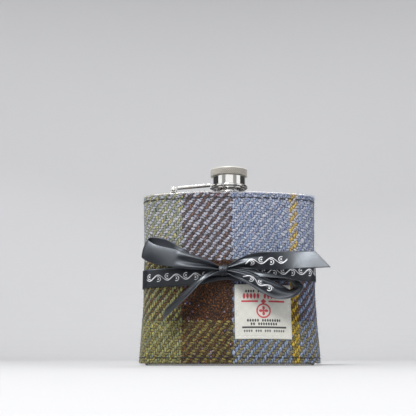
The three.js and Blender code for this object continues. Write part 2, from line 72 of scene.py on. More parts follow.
WALL_LOW, WALL_HIGH = box_mm("body_wall")
BASE_LOW, BASE_HIGH = box_mm("base_plate")
SHOULDER_LOW, SHOULDER_HIGH = box_mm("shoulder_plate")
NECK_LOW, NECK_HIGH = box_mm("neck")
SLEEVE_LOW, SLEEVE_HIGH = box_mm("sleeve_tweed")
HEAD_LOW, HEAD_HIGH = box_mm("cap_head")
FERRULE_LOW, FERRULE_HIGH = box_mm("cap_ferrule")
INSERT_LOW, INSERT_HIGH = box_mm("cap_thread_insert")
SEAL_LOW, SEAL_HIGH = box_mm("cap_seal")
BRACKET_LOW, BRACKET_HIGH = box_mm("hinge_bracket")
PIN_LOW, PIN_HIGH = box_mm("hinge_pin")
ARM_LOW, ARM_HIGH = box_mm("captive_arm")
LABEL_LOW, LABEL_HIGH = box_mm("woven_label")
KNOT_LOW, KNOT_HIGH = box_mm("ribbon_knot")

# The body's plan: front and back arcs about one axis behind the flask, with four round corners.
BEND_RADIUS = 98.0
BODY_DEPTH = 20.0
CORNER_RADIUS = 8.5
BODY_WIDTH = WALL_HIGH[0] - WALL_LOW[0]
SHEET_STEEL = 0.8
BEND_FRONT = BEND_RADIUS + BODY_DEPTH / 2
BEND_BACK = BEND_RADIUS - BODY_DEPTH / 2
CORNER_FRONT = BEND_FRONT - CORNER_RADIUS
CORNER_BACK = BEND_BACK + CORNER_RADIUS
CORNER_ANGLE = math.asin((BODY_WIDTH / 2 - CORNER_RADIUS) / CORNER_FRONT)

# The tweed's outer face, out from the steel: flared hem, waist under the ribbon, upper hem.
SLEEVE_FLARE = SLEEVE_HIGH[0] - BODY_WIDTH / 2
SLEEVE_WAIST = 1.35
SLEEVE_HEAD = 2.0
WAIST_LOW = 40.0
WAIST_HIGH = 62.0
STITCH_INSET = 3.0


# ---------------------------------------------------------------- sizes and colours to change

class FLASK_PG_tweed(bpy.types.PropertyGroup):
    """Weave of the sleeve."""

    warps: bpy.props.IntProperty(
        name="Warp yarns", description="Upright yarns right round the sleeve, in fours",
        default=188, min=40, step=4)
    weft_pitch: bpy.props.FloatProperty(
        name="Weft pitch", description="Height of one weft yarn, in millimetres", default=1.42)
    relief: bpy.props.FloatProperty(
        name="Relief", description="Height of a yarn's crown, in millimetres", default=0.17)
    fibres: bpy.props.IntProperty(
        name="Stray fibres", description="Hairs that stand off the wool", default=6500)


class FLASK_PG_ribbon(bpy.types.PropertyGroup):
    """Satin ribbon."""

    width: bpy.props.FloatProperty(
        name="Width", description="Ribbon width, in millimetres", default=10.2)
    thickness: bpy.props.FloatProperty(
        name="Thickness", description="Ribbon thickness, in millimetres", default=0.22)
    colour: bpy.props.FloatVectorProperty(
        name="Colour", description="Satin colour", subtype="COLOR", size=3,
        default=(0.012, 0.0135, 0.018))


class FLASK_PG_steel(bpy.types.PropertyGroup):
    """Metal parts."""

    colour: bpy.props.FloatVectorProperty(
        name="Steel", description="Polished steel", subtype="COLOR", size=3,
        default=(0.78, 0.77, 0.75))
    knurls: bpy.props.IntProperty(
        name="Knurls", description="Diamonds round the cap's head", default=58)


class FLASK_PG_label(bpy.types.PropertyGroup):
    """Woven label."""

    ground: bpy.props.FloatVectorProperty(
        name="Ground", description="Off-white ground weave", subtype="COLOR", size=3,
        default=(0.63, 0.625, 0.575))
    figure: bpy.props.FloatVectorProperty(
        name="Figure", description="Red figure weave", subtype="COLOR", size=3,
        default=(0.50, 0.022, 0.045))


# ---------------------------------------------------------------- mesh helpers

def quad_mesh(name, points, index, uv=None, colour=None):
    """An object from points in millimetres and rows of four vertex numbers."""
    mesh = bpy.data.meshes.new(name)
    mesh.vertices.add(len(points))
    mesh.vertices.foreach_set("co", (points * MM).astype(np.float32).ravel())
    count = len(index)
    mesh.loops.add(count * 4)
    mesh.loops.foreach_set("vertex_index", index.astype(np.int32).ravel())
    mesh.polygons.add(count)
    mesh.polygons.foreach_set("loop_start", np.arange(0, count * 4, 4, dtype=np.int32))
    mesh.polygons.foreach_set("use_smooth", np.ones(count, dtype=bool))
    mesh.update(calc_edges=True)
    if uv is not None:
        layer = mesh.uv_layers.new(name="UVMap")
        layer.uv.foreach_set("vector", uv.astype(np.float32).ravel())
    if colour is not None:
        layer = mesh.color_attributes.new("Tint", "FLOAT_COLOR", "POINT")
        layer.data.foreach_set("color", colour.reshape(-1, 4).astype(np.float32).ravel())
    return link(name, mesh)


def grid_mesh(name, points, uv=None, wrap_u=False, wrap_v=False, colour=None, flip=False):
    """An object from a grid of points in millimetres, shaped (rows, columns, 3).

    Faces join neighbouring rows and columns, and the last ones to the first where it wraps. With
    columns running anticlockwise and rows running up, faces look outwards.
    """
    rows, columns = points.shape[:2]
    j, i = np.meshgrid(
        np.arange(rows if wrap_v else rows - 1),
        np.arange(columns if wrap_u else columns - 1), indexing="ij")
    j, i = j.ravel(), i.ravel()
    j1, i1 = j + 1, i + 1
    corners = [(j, i), (j, i1), (j1, i1), (j1, i)]
    if flip:
        corners = corners[::-1]
    index = np.stack([(a % rows) * columns + (b % columns) for a, b in corners], axis=1)
    if uv is not None:
        uv = np.stack([uv[a, b] for a, b in corners], axis=1)
    return quad_mesh(name, points.reshape(-1, 3), index, uv, colour)


def tubes(name, paths, radii, out, sides=6, colour=None):
    """Many tubes in one mesh: paths shaped (tubes, points, 3), radii and outward hints to match.

    A ring stands square to the path at each point, its first direction the outward hint made
    square to the path. A radius of nought closes an end.
    """
    count, steps = paths.shape[:2]
    along = np.gradient(paths, axis=1)
    along /= np.linalg.norm(along, axis=2, keepdims=True)
    side = np.cross(along, out + 0 * along)
    side /= np.linalg.norm(side, axis=2, keepdims=True)
    up = np.cross(side, along)
    angle = np.linspace(0, 2 * np.pi, sides, endpoint=False)
    ring = up[:, :, None] * np.cos(angle)[:, None] + side[:, :, None] * np.sin(angle)[:, None]
    radii = np.broadcast_to(radii, (count, steps))
    points = paths[:, :, None] + ring * radii[:, :, None, None]
    t, j, k = np.meshgrid(np.arange(count), np.arange(steps - 1), np.arange(sides), indexing="ij")
    t, j, k = t.ravel(), j.ravel(), k.ravel()
    number = lambda row, column: (t * steps + row) * sides + column % sides
    index = np.stack([number(j, k), number(j, k + 1), number(j + 1, k + 1), number(j + 1, k)], axis=1)
    if colour is not None:
        colour = np.repeat(colour, steps * sides, axis=0)
    return weld(quad_mesh(name, points.reshape(-1, 3), index, colour=colour))


def link(name, mesh):
    """An object at the origin for a mesh."""
    piece = bpy.data.objects.new(name, mesh)
    bpy.context.scene.collection.objects.link(piece)
    return piece


def weld(piece, distance=1e-7):
    """Merges doubled vertices, as at poles, and drops the faces that vanish."""
    mesh = bmesh.new()
    mesh.from_mesh(piece.data)
    bmesh.ops.remove_doubles(mesh, verts=mesh.verts, dist=distance)
    bmesh.ops.dissolve_degenerate(mesh, edges=mesh.edges, dist=1e-9)
    bmesh.ops.recalc_face_normals(mesh, faces=mesh.faces)
    mesh.to_mesh(piece.data)
    mesh.free()
    return piece


def join(name, pieces):
    """One object from several, in order."""
    bpy.ops.object.select_all(action="DESELECT")
    for piece in pieces:
        piece.select_set(True)
    bpy.context.view_layer.objects.active = pieces[0]
    bpy.ops.object.join()
    pieces[0].name = name
    pieces[0].data.name = name
    return pieces[0]


def modifier(piece, kind, apply=True, **settings):
    """Adds a modifier and, as a rule, applies it."""
    made = piece.modifiers.new(kind.title(), kind)
    for key, value in settings.items():
        setattr(made, key, value)
    if apply:
        bpy.context.view_layer.objects.active = piece
        bpy.ops.object.modifier_apply(modifier=made.name)
    return piece


def finish_piece(piece, body, material, slot, *nodes):
    """Gives a piece its body and material, and hides the CAD nodes that it stands for. The slot is not used.
    """
    piece.data.materials.clear()
    piece.data.materials.append(material)
    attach(piece, body)
    if nodes:
        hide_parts(*nodes)
    return piece


def rounded_profile(corners, radius=0.12, steps=3):
    """A profile of [radius, height] corners with each inner corner rounded off by a small arc.

    Each corner is cut back by the radius along both of its sides, and the two cuts are joined by a
    quadratic curve.
    """
    corners = [np.array(c, float) for c in corners]
    out = [corners[0]]
    for before, here, after in zip(corners, corners[1:], corners[2:]):
        to, away = before - here, after - here
        cut = min(radius, 0.4 * np.linalg.norm(to), 0.4 * np.linalg.norm(away))
        a = here + to / np.linalg.norm(to) * cut
        b = here + away / np.linalg.norm(away) * cut
        for t in np.linspace(0, 1, steps + 1):
            out.append((1 - t) ** 2 * a + 2 * t * (1 - t) * here + t ** 2 * b)
    out.append(corners[-1])
    return np.array(out)


def supported(profile, near=0.03):
    """The profile with a point close to both ends of each long side, so that flats shade flat."""
    profile = np.asarray(profile, float)
    out = [profile[0]]
    for a, b in zip(profile, profile[1:]):
        length = np.linalg.norm(b - a)
        if length > 0.3:
            out += [a + (b - a) * near / length, b - (b - a) * near / length]
        out.append(b)
    return np.array(out)


def revolve(profile, angle):
    """Rings of a profile of [radius, height] at each angle about the Z axis."""
    profile = np.asarray(profile, float)
    r, z = profile[:, :1], profile[:, 1:]
    return np.stack([r * np.cos(angle), r * np.sin(angle), z + 0 * angle], axis=2)


def turned(name, profile, segments=160, closed=False, centre=(0, 0, 0)):
    """A profile of [radius, height] turned about an upright axis through centre."""
    points = revolve(supported(profile), np.linspace(0, 2 * np.pi, segments, endpoint=False))
    piece = grid_mesh(name, points + np.array(centre), wrap_u=True, wrap_v=closed)
    return weld(piece)


def cross_bar(name, profile, centre, segments=48):
    """A profile of [radius, place along Y] turned about an axis along Y through centre."""
    profile = supported(profile)
    angle = np.linspace(0, 2 * np.pi, segments, endpoint=False)
    r, y = profile[:, :1], profile[:, 1:]
    points = np.stack([r * np.cos(angle), y + 0 * angle, -r * np.sin(angle)], axis=2)
    return weld(grid_mesh(name, points + np.array(centre), wrap_u=True))


def slab(name, outline, y_low, y_high, bevel=0.12):
    """A side view of [x, z] points, thickened from y_low to y_high, with its edges eased."""
    outline = np.asarray(outline, float)
    mesh = bmesh.new()
    near = [mesh.verts.new((x * MM, y_low * MM, z * MM)) for x, z in outline]
    face = mesh.faces.new(near)
    made = bmesh.ops.extrude_face_region(mesh, geom=[face])
    moved = [v for v in made["geom"] if isinstance(v, bmesh.types.BMVert)]
    bmesh.ops.translate(mesh, verts=moved, vec=(0, (y_high - y_low) * MM, 0))
    bmesh.ops.recalc_face_normals(mesh, faces=mesh.faces)
    data = bpy.data.meshes.new(name)
    mesh.to_mesh(data)
    mesh.free()
    piece = link(name, data)
    modifier(piece, "BEVEL", width=bevel * MM, segments=3, limit_method="ANGLE",
             angle_limit=math.radians(40), harden_normals=False)
    piece.data.polygons.foreach_set("use_smooth", np.ones(len(piece.data.polygons), dtype=bool))
    modifier(piece, "WEIGHTED_NORMAL", keep_sharp=False, weight=60)
    return piece


# ---------------------------------------------------------------- the body's plan

def bend_point(radius, angle):
    """Points at an angle about the bend's axis, from -Y towards +X, shaped (n, 2)."""
    radius = radius + 0 * angle
    return np.stack([radius * np.sin(angle), BEND_RADIUS - radius * np.cos(angle)], axis=-1)


def run_lengths(reference):
    """Lengths of half the plan's runs at an offset: front arc, corner, flat, corner, back arc."""
    corner = (CORNER_RADIUS + reference) * math.pi / 2
    return np.array([
        CORNER_ANGLE * (BEND_FRONT + reference), corner, CORNER_FRONT - CORNER_BACK, corner,
        CORNER_ANGLE * (BEND_BACK - reference)])


def plan(s, offset, reference=1.8):
    """Points and outward normals of the body's plan at arc length s from the middle of the front.

    s is measured on the outline grown by the reference and is negative to the left. Each stretch
    is a run about its own centre, so the offset moves a point straight along its normal.
    """
    s = np.asarray(s, float)
    side = np.where(s < 0, -1.0, 1.0)
    along = np.abs(s)
    ends = np.cumsum(run_lengths(reference))
    lengths = run_lengths(reference)
    share = [np.clip((along - (e - n)) / n, 0, 1) for e, n in zip(ends, lengths)]
    a = CORNER_ANGLE
    out = lambda t: np.stack([np.cos(t), np.sin(t)], axis=-1)
    front_centre = bend_point(CORNER_FRONT, np.array(a))
    back_centre = bend_point(CORNER_BACK, np.array(a))
    turn_one = out(a - math.pi / 2 + share[1] * math.pi / 2)
    end_normal = out(a + 0 * along)
    turn_two = out(a + share[3] * math.pi / 2)
    phi_front = share[0] * a
    phi_back = (1 - share[4]) * a
    front_normal = np.stack([np.sin(phi_front), -np.cos(phi_front)], axis=-1)
    back_normal = np.stack([-np.sin(phi_back), np.cos(phi_back)], axis=-1)
    flat_point = front_centre + (back_centre - front_centre) * share[2][..., None]
    runs = [
        (bend_point(BEND_FRONT, phi_front), front_normal),
        (front_centre + CORNER_RADIUS * turn_one, turn_one),
        (flat_point + CORNER_RADIUS * end_normal, end_normal),
        (back_centre + CORNER_RADIUS * turn_two, turn_two),
        (bend_point(BEND_BACK, phi_back), back_normal),
    ]
    conditions = [(along <= e)[..., None] for e in ends[:-1]] + [np.ones_like(along)[..., None] > 0]
    point = np.select(conditions, [p for p, _ in runs])
    normal = np.select(conditions, [n for _, n in runs])
    mirror = np.stack([side, np.ones_like(side)], axis=-1)
    point, normal = point * mirror, normal * mirror
    return point + normal * np.asarray(offset, float)[..., None], normal


def half_girth(reference=1.8):
    """Half the length round the plan grown by an offset."""
    return float(run_lengths(reference).sum())


def ease(t):
    """Smooth step from 0 to 1."""
    t = np.clip(t, 0, 1)
    return t * t * (3 - 2 * t)


def cloth_face(z):
    """How far the tweed's face stands off the steel at a height: flare, waist and head, eased."""
    z = np.asarray(z, float)
    climb = ease((z - SLEEVE_LOW[2]) / (WAIST_LOW - SLEEVE_LOW[2])) ** 0.8
    rise = ease((z - WAIST_HIGH) / (SLEEVE_HIGH[2] - WAIST_HIGH))
    low = SLEEVE_FLARE + (SLEEVE_WAIST - SLEEVE_FLARE) * climb
    high = SLEEVE_WAIST + (SLEEVE_HEAD - SLEEVE_WAIST) * rise
    return np.where(z < WAIST_LOW, low, high)


def catmull(stations, count):
    """A smooth curve through stations, by uniform Catmull-Rom cubics, at count even steps.

    Returns the values and their derivatives by step. End tangents point to the next station.
    """
    p = np.asarray(stations, float)
    p = np.vstack([2 * p[0] - p[1], p, 2 * p[-1] - p[-2]])
    t = np.linspace(0, len(p) - 3, count)
    k = np.minimum(t.astype(int), len(p) - 4)
    f = (t - k)[:, None]
    a, b, c, d = p[k], p[k + 1], p[k + 2], p[k + 3]
    m0, m1 = (c - a) / 2, (d - b) / 2
    value = ((2 * f ** 3 - 3 * f ** 2 + 1) * b + (f ** 3 - 2 * f ** 2 + f) * m0
             + (3 * f ** 2 - 2 * f ** 3) * c + (f ** 3 - f ** 2) * m1)
    slope = ((6 * f ** 2 - 6 * f) * (b - c) + (3 * f ** 2 - 4 * f + 1) * m0
             + (3 * f ** 2 - 2 * f) * m1)
    return value, slope


# ---------------------------------------------------------------- materials

class Nodes:
    """Short names for adding shader nodes to one material or world."""

    def __init__(self, owner):
        owner.use_nodes = True
        self.tree = owner.node_tree
        self.tree.nodes.clear()

    def add(self, kind, inputs=None, **settings):
        node = self.tree.nodes.new(kind)
        for key, value in settings.items():
            setattr(node, key, value)
        for key, value in (inputs or {}).items():
            self.feed(node.inputs[key], value)
        return node

    def feed(self, socket, value):
        if isinstance(value, bpy.types.NodeSocket):
            self.tree.links.new(value, socket)
        else:
            socket.default_value = value

    def math(self, operation, *values):
        node = self.add("ShaderNodeMath", operation=operation)
        for socket, value in zip(node.inputs, values):
            self.feed(socket, value)
        return node.outputs[0]

    def mix(self, factor, a, b, blend="MIX"):
        node = self.add("ShaderNodeMix", data_type="RGBA", blend_type=blend)
        self.feed(node.inputs[0], factor)
        self.feed(node.inputs[6], rgba(a))
        self.feed(node.inputs[7], rgba(b))
        return node.outputs[2]

    def band(self, value, low, high):
        """0 below low, 1 above high, eased between."""
        node = self.add("ShaderNodeMapRange", interpolation_type="SMOOTHSTEP")
        self.feed(node.inputs[0], value)
        self.feed(node.inputs[1], low)
        self.feed(node.inputs[2], high)
        return node.outputs[0]

    def noise(self, vector, scale, detail=2.0, roughness=0.5):
        node = self.add("ShaderNodeTexNoise")
        self.feed(node.inputs["Vector"], vector)
        node.inputs["Scale"].default_value = scale
        node.inputs["Detail"].default_value = detail
        node.inputs["Roughness"].default_value = roughness
        return node.outputs["Fac"]

    def vector(self, x, y, z=0.0):
        node = self.add("ShaderNodeCombineXYZ")
        for socket, value in zip(node.inputs, (x, y, z)):
            self.feed(socket, value)
        return node.outputs[0]

    def steps(self, value, stops):
        """A colour for each stretch of a value between 0 and 1: [[start, colour], ...]."""
        node = self.add("ShaderNodeValToRGB")
        self.feed(node.inputs[0], value)
        ramp = node.color_ramp
        ramp.interpolation = "CONSTANT"
        for n, (start, colour) in enumerate(stops):
            stop = ramp.elements[n] if n < 2 else ramp.elements.new(start)
            stop.position, stop.color = start, rgba(colour)
        return node.outputs[0]

    def bump(self, height, strength, distance, normal=None):
        node = self.add("ShaderNodeBump", {"Height": height, "Strength": strength, "Distance": distance})
        if normal is not None:
            self.feed(node.inputs["Normal"], normal)
        return node.outputs[0]

    def surface(self, shader):
        out = self.add("ShaderNodeOutputMaterial")
        self.tree.links.new(shader.outputs[0], out.inputs["Surface"])


def rgba(value):
    """A colour of three numbers with its alpha, or a socket as it is."""
    if isinstance(value, bpy.types.NodeSocket):
        return value
    return tuple(value)[:3] + (1.0,)


def material(name):
    """A fresh material and its nodes."""
    made = bpy.data.materials.new(name)
    return made, Nodes(made)


# Yarn colours: the body of the yarn, its pale hairs and its dark hairs.
BLUE = ((0.18, 0.245, 0.385), (0.44, 0.49, 0.59), (0.045, 0.075, 0.20))
SKY = ((0.375, 0.385, 0.455), (0.66, 0.67, 0.72), (0.15, 0.18, 0.27))
BROWN = ((0.038, 0.019, 0.012), (0.25, 0.09, 0.022), (0.008, 0.006, 0.005))
GREEN = ((0.23, 0.235, 0.12), (0.62, 0.52, 0.10), (0.05, 0.13, 0.12))
MOSS = ((0.15, 0.125, 0.045), (0.40, 0.32, 0.09), (0.03, 0.035, 0.02))
YELLOW = ((0.50, 0.33, 0.02), (0.78, 0.58, 0.10), (0.24, 0.14, 0.012))
PALE = ((0.42, 0.46, 0.58), (0.75, 0.77, 0.82), (0.12, 0.16, 0.28))

# The sett: warp bands by arc length from the middle of the front, weft bands by height, in mm.
WARP_START, WARP_SPAN = -112.0, 224.0
WEFT_START, WEFT_SPAN = -10.0, 120.0
WARP_BANDS = [
    (WARP_START, BLUE), (-93.0, YELLOW), (-88.0, BLUE), (-54.0, GREEN), (-26.8, BROWN), (0.4, PALE),
    (1.7, BLUE), (33.6, YELLOW), (38.5, BLUE), (63.0, GREEN), (90.0, BROWN)]
WEFT_BANDS = [(WEFT_START, MOSS), (24.2, BROWN), (55.7, SKY)]


def yarn_colour(nodes, place, bands, low, span, hairs, flecks):
    """The melange colour of a yarn: its band's body colour, with pale and dark hairs over it."""
    share = nodes.math("DIVIDE", nodes.math("SUBTRACT", place, low), span)
    ramps = [
        nodes.steps(share, [(max(0.0, (start - low) / span), colours[n]) for start, colours in bands])
        for n in range(3)]
    pale = nodes.band(hairs, 0.50, 0.62)
    dark = nodes.band(flecks, 0.50, 0.60)
    body = nodes.mix(nodes.math("MULTIPLY", pale, 0.8), ramps[0], ramps[1])
    return nodes.mix(nodes.math("MULTIPLY", dark, 0.85), body, ramps[2])


def tweed_material(settings):
    """2/2 twill worked out from the UV map, which counts yarns: warps along u, wefts along v.

    A warp yarn's crown rises and falls as cos(90 deg x (v - i)) for its number i, a weft's as
    cos(90 deg x (u - j - 3)), and each has a round section. The higher of the two shows.
    """
    made, n = material("tweed")
    place = n.add("ShaderNodeUVMap", uv_map="UVMap").outputs[0]
    wobble = n.add("ShaderNodeTexCoord").outputs["Object"]
    split = n.add("ShaderNodeSeparateXYZ", {0: place})
    drift = n.math("MULTIPLY", n.math("SUBTRACT", n.noise(wobble, 900.0, 1.0), 0.5), 0.34)
    drift_v = n.math("MULTIPLY", n.math("SUBTRACT", n.noise(wobble, 760.0, 1.0), 0.5), 0.30)
    u = n.math("ADD", split.outputs[0], drift)
    v = n.math("ADD", split.outputs[1], drift_v)
    i, j = n.math("FLOOR", u), n.math("FLOOR", v)
    fu, fv = n.math("FRACT", u), n.math("FRACT", v)

    def crown(along, number, lag, across):
        """Height of a yarn: where it is in its float, and its round section."""
        phase = n.math("MULTIPLY", n.math("SUBTRACT", n.math("SUBTRACT", along, number), lag), math.pi / 2)
        off = n.math("MULTIPLY_ADD", across, 2.0, -1.0)
        section = n.math("SUBTRACT", 1.0, n.math("MULTIPLY", off, off))
        return n.math("ADD", n.math("COSINE", phase), n.math("MULTIPLY", section, 0.9))

    warp = crown(v, i, 0.0, fu)
    weft = crown(u, j, 3.0, fv)
    over = n.math("MULTIPLY_ADD", n.band(n.math("SUBTRACT", warp, weft), -0.06, 0.06), 0.72, 0.14)
    height = n.math("MAXIMUM", warp, weft)

    girth = 2 * half_girth()
    arc = n.math("MULTIPLY", n.math("ADD", i, 0.5), girth / settings.warps)
    level = n.math("MULTIPLY", n.math("ADD", j, 0.5), settings.weft_pitch)
    along_warp = n.vector(n.math("MULTIPLY", u, 2.2), n.math("MULTIPLY", v, 1.3), n.math("MULTIPLY", i, 3.7))
    along_weft = n.vector(n.math("MULTIPLY", u, 1.1), n.math("MULTIPLY", v, 2.6), n.math("MULTIPLY", j, 4.3))
    warp_hairs, warp_flecks = n.noise(along_warp, 1.0, 3.0), n.noise(along_warp, 0.83, 3.0, 0.65)
    warp_colour = yarn_colour(n, arc, WARP_BANDS, WARP_START, WARP_SPAN, warp_hairs, warp_flecks)
    weft_hairs, weft_flecks = n.noise(along_weft, 1.0, 3.0), n.noise(along_weft, 0.79, 3.0, 0.65)
    weft_colour = yarn_colour(n, level, WEFT_BANDS, WEFT_START, WEFT_SPAN, weft_hairs, weft_flecks)
    cloth = n.mix(over, weft_colour, warp_colour)

    fleck = n.add("ShaderNodeTexVoronoi", {"Vector": wobble, "Scale": 950.0}, feature="F1")
    rare = n.band(fleck.outputs["Color"], 0.86, 0.90)
    speck_colour = n.steps(fleck.outputs["Distance"], [
        (0.0, (0.42, 0.10, 0.16)), (0.22, (0.75, 0.75, 0.74)),
        (0.34, (0.45, 0.18, 0.03)), (0.46, (0.10, 0.14, 0.36))])
    cloth = n.mix(n.math("MULTIPLY", rare, 0.55), cloth, speck_colour)

    # Painted shade: the cloth's colour darkens towards near black in the hollows between the yarns' crowns,
    # and patchy varies this painted light at random.
    depth = n.band(height, 0.62, 1.45)
    patchy = n.math("MULTIPLY_ADD", n.noise(wobble, 170.0, 2.0), 0.5, 0.75)
    lit = n.math("MULTIPLY", n.math("MULTIPLY_ADD", depth, 0.87, 0.13), patchy)
    shaded = n.mix(lit, (0.010, 0.009, 0.010), cloth)
    fuzz = n.noise(n.vector(n.math("MULTIPLY", u, 9.0), n.math("MULTIPLY", v, 9.0)), 1.0, 4.0, 0.7)
    bump = n.bump(n.math("MULTIPLY_ADD", fuzz, 0.6, height), 0.9, 0.16 * MM)
    shader = n.add("ShaderNodeBsdfPrincipled", {
        "Base Color": shaded, "Roughness": 0.92, "Normal": bump, "Specular IOR Level": 0.15,
        "Sheen Weight": 0.22, "Sheen Roughness": 0.5})
    n.surface(shader)
    return made


def steel_material(name, colour, roughness, wave=0.0, grain=0.0):
    """Polished steel, with fine wiping marks and, on thin strip, a slight roll in the polish."""
    made, n = material(name)
    place = n.add("ShaderNodeTexCoord").outputs["Object"]
    marks = n.noise(place, 1400.0, 3.0, 0.7)
    rough = n.math("MULTIPLY_ADD", marks, roughness * 0.8, roughness * 0.6)
    normal = n.bump(marks, 0.05 + grain, 0.02 * MM)
    if wave:
        normal = n.bump(n.noise(place, 520.0, 1.0), wave, 0.9 * MM, normal)
    smudge = n.band(n.noise(place, 90.0, 2.0), 0.35, 0.7)
    tone = n.mix(n.math("MULTIPLY", smudge, 0.18), colour, [c * 0.8 for c in colour])
    shader = n.add("ShaderNodeBsdfPrincipled", {
        "Base Color": tone, "Metallic": 1.0, "Roughness": rough, "Normal": normal})
    n.surface(shader)
    return made


def knurl_material(colour):
    """Satin steel with painted light: painted shade, near black, between the knurl's points, and a painted
    highlight on them.
    """
    made, n = material("knurled_steel")
    place = n.add("ShaderNodeTexCoord").outputs["Object"]
    tint = n.add("ShaderNodeVertexColor", layer_name="Tint").outputs["Color"]
    level = n.add("ShaderNodeSeparateColor", {0: tint}).outputs[0]
    # Painted shade: a near black colour fills the knurl's grooves, and a painted highlight brighter than the
    # steel lies on its points and plain faces; noise spreads some of the painted shade at random.
    groove_shade = [colour[0] * 0.08, colour[1] * 0.07, colour[2] * 0.06]
    point_highlight = [colour[0] * 1.28, colour[1] * 1.24, colour[2] * 1.15]
    tone = n.mix(level, groove_shade, point_highlight)
    tone = n.mix(n.math("MULTIPLY", n.noise(place, 2600.0, 2.0), 0.15), tone, groove_shade)
    shader = n.add("ShaderNodeBsdfPrincipled", {
        "Base Color": tone, "Metallic": 0.62, "Roughness": 0.36,
        "Normal": n.bump(n.noise(place, 5200.0, 2.0), 0.15, 0.03 * MM)})
    n.surface(shader)
    return made


def satin_material(name, settings, printed):
    """Black satin: long floats across the ribbon, a fine selvedge, and a silver scroll if printed.

    The UV map holds millimetres: along the ribbon in u and across it in v, from its middle.
    """
    made, n = material(name)
    place = n.add("ShaderNodeUVMap", uv_map="UVMap").outputs[0]
    split = n.add("ShaderNodeSeparateXYZ", {0: place})
    u, v = split.outputs[0], split.outputs[1]
    rib = n.math("SINE", n.math("MULTIPLY", u, 2 * math.pi / 0.34))
    thread = n.noise(n.vector(n.math("MULTIPLY", u, 0.8), n.math("MULTIPLY", v, 9.0)), 1.6, 3.0, 0.7)
    height = n.math("MULTIPLY_ADD", thread, 0.7, n.math("MULTIPLY", rib, 0.35))
    edge = n.band(n.math("ABSOLUTE", v), settings.width / 2 - 0.75, settings.width / 2 - 0.35)
    tone = n.mix(n.math("MULTIPLY", edge, 0.6), settings.colour, [c * 2.6 for c in settings.colour])
    rough = n.math("MULTIPLY_ADD", thread, 0.16, 0.27)
    if printed:
        inside = [
            n.math("MULTIPLY", n.math("GREATER_THAN", u, start), n.math("LESS_THAN", u, end))
            for start, end in printed]
        where = n.math("ADD", *inside) if len(inside) == 2 else inside[0]
        ink = n.math("MULTIPLY", scroll_print(n, u, v), where)
        tone = n.mix(ink, tone, (0.80, 0.81, 0.83))
        rough = n.math("MULTIPLY_ADD", ink, 0.2, rough)
    shader = n.add("ShaderNodeBsdfPrincipled", {
        "Base Color": tone, "Roughness": rough, "IOR": 1.97, "Anisotropic": 0.4,
        "Sheen Weight": 0.04, "Sheen Roughness": 0.35, "Normal": n.bump(height, 0.35, 0.05 * MM)})
    shader.inputs["Specular Tint"].default_value = (0.86, 0.93, 1.0, 1.0)
    n.surface(shader)
    return made


SCROLL_PITCH = 5.4
SCROLL_LINE = 0.30


def scroll_print(n, u, v):
    """A running vine: a wavy stem, with a curl standing in each of its bends.

    The stem is where |v - a sin| is small. Each curl is a ring about a point in a bend, broken on
    one side, with a bud in its middle.
    """
    turn = n.math("MULTIPLY", u, 2 * math.pi / (2 * SCROLL_PITCH))
    stem_off = n.math("ABSOLUTE", n.math("SUBTRACT", v, n.math("MULTIPLY", n.math("SINE", turn), 1.5)))
    thickness = n.math("MULTIPLY_ADD", n.math("COSINE", turn), 0.12, SCROLL_LINE)
    stem = n.math("LESS_THAN", stem_off, thickness)
    cell = n.math("FLOOR", n.math("DIVIDE", u, SCROLL_PITCH))
    along = n.math("SUBTRACT", u, n.math("MULTIPLY", n.math("ADD", cell, 0.5), SCROLL_PITCH))
    odd = n.math("MULTIPLY_ADD", n.math("FLOORED_MODULO", cell, 2.0), -2.0, 1.0)
    up = n.math("MULTIPLY_ADD", odd, 0.75, v)
    reach = n.math("SQRT", n.math("ADD", n.math("MULTIPLY", along, along), n.math("MULTIPLY", up, up)))
    ring = n.math("LESS_THAN", n.math("ABSOLUTE", n.math("SUBTRACT", reach, 1.35)), 0.20)
    open_side = n.math("GREATER_THAN", n.math("MULTIPLY", along, odd), -0.7)
    bud = n.math("LESS_THAN", reach, 0.45)
    curl = n.math("MAXIMUM", n.math("MULTIPLY", ring, open_side), bud)
    ink = n.math("MAXIMUM", stem, curl)
    worn = n.band(n.noise(n.vector(u, v), 3.0, 3.0, 0.7), 0.25, 0.42)
    return n.math("MULTIPLY", ink, worn)


def label_material():
    """Damask weave: the figure's colours are in the mesh, under a fine rib of weft and warp."""
    made, n = material("woven_label")
    place = n.add("ShaderNodeUVMap", uv_map="UVMap").outputs[0]
    tint = n.add("ShaderNodeVertexColor", layer_name="Tint").outputs["Color"]
    split = n.add("ShaderNodeSeparateXYZ", {0: place})
    u, v = split.outputs[0], split.outputs[1]
    warp = n.math("SINE", n.math("MULTIPLY", u, 2 * math.pi / 0.42))
    weft = n.math("SINE", n.math("MULTIPLY", v, 2 * math.pi / 0.30))
    rib = n.math("MULTIPLY", warp, weft)
    grime = n.noise(n.vector(u, v), 0.9, 3.0)
    tone = n.mix(n.math("MULTIPLY_ADD", rib, 0.10, 0.10), tint, (0.34, 0.33, 0.30), "MULTIPLY")
    tone = n.mix(n.math("MULTIPLY", grime, 0.14), tone, (0.62, 0.61, 0.56))
    shader = n.add("ShaderNodeBsdfPrincipled", {
        "Base Color": tone, "Roughness": 0.72, "Specular IOR Level": 0.3,
        "Sheen Weight": 0.15, "Normal": n.bump(rib, 0.45, 0.05 * MM)})
    n.surface(shader)
    return made


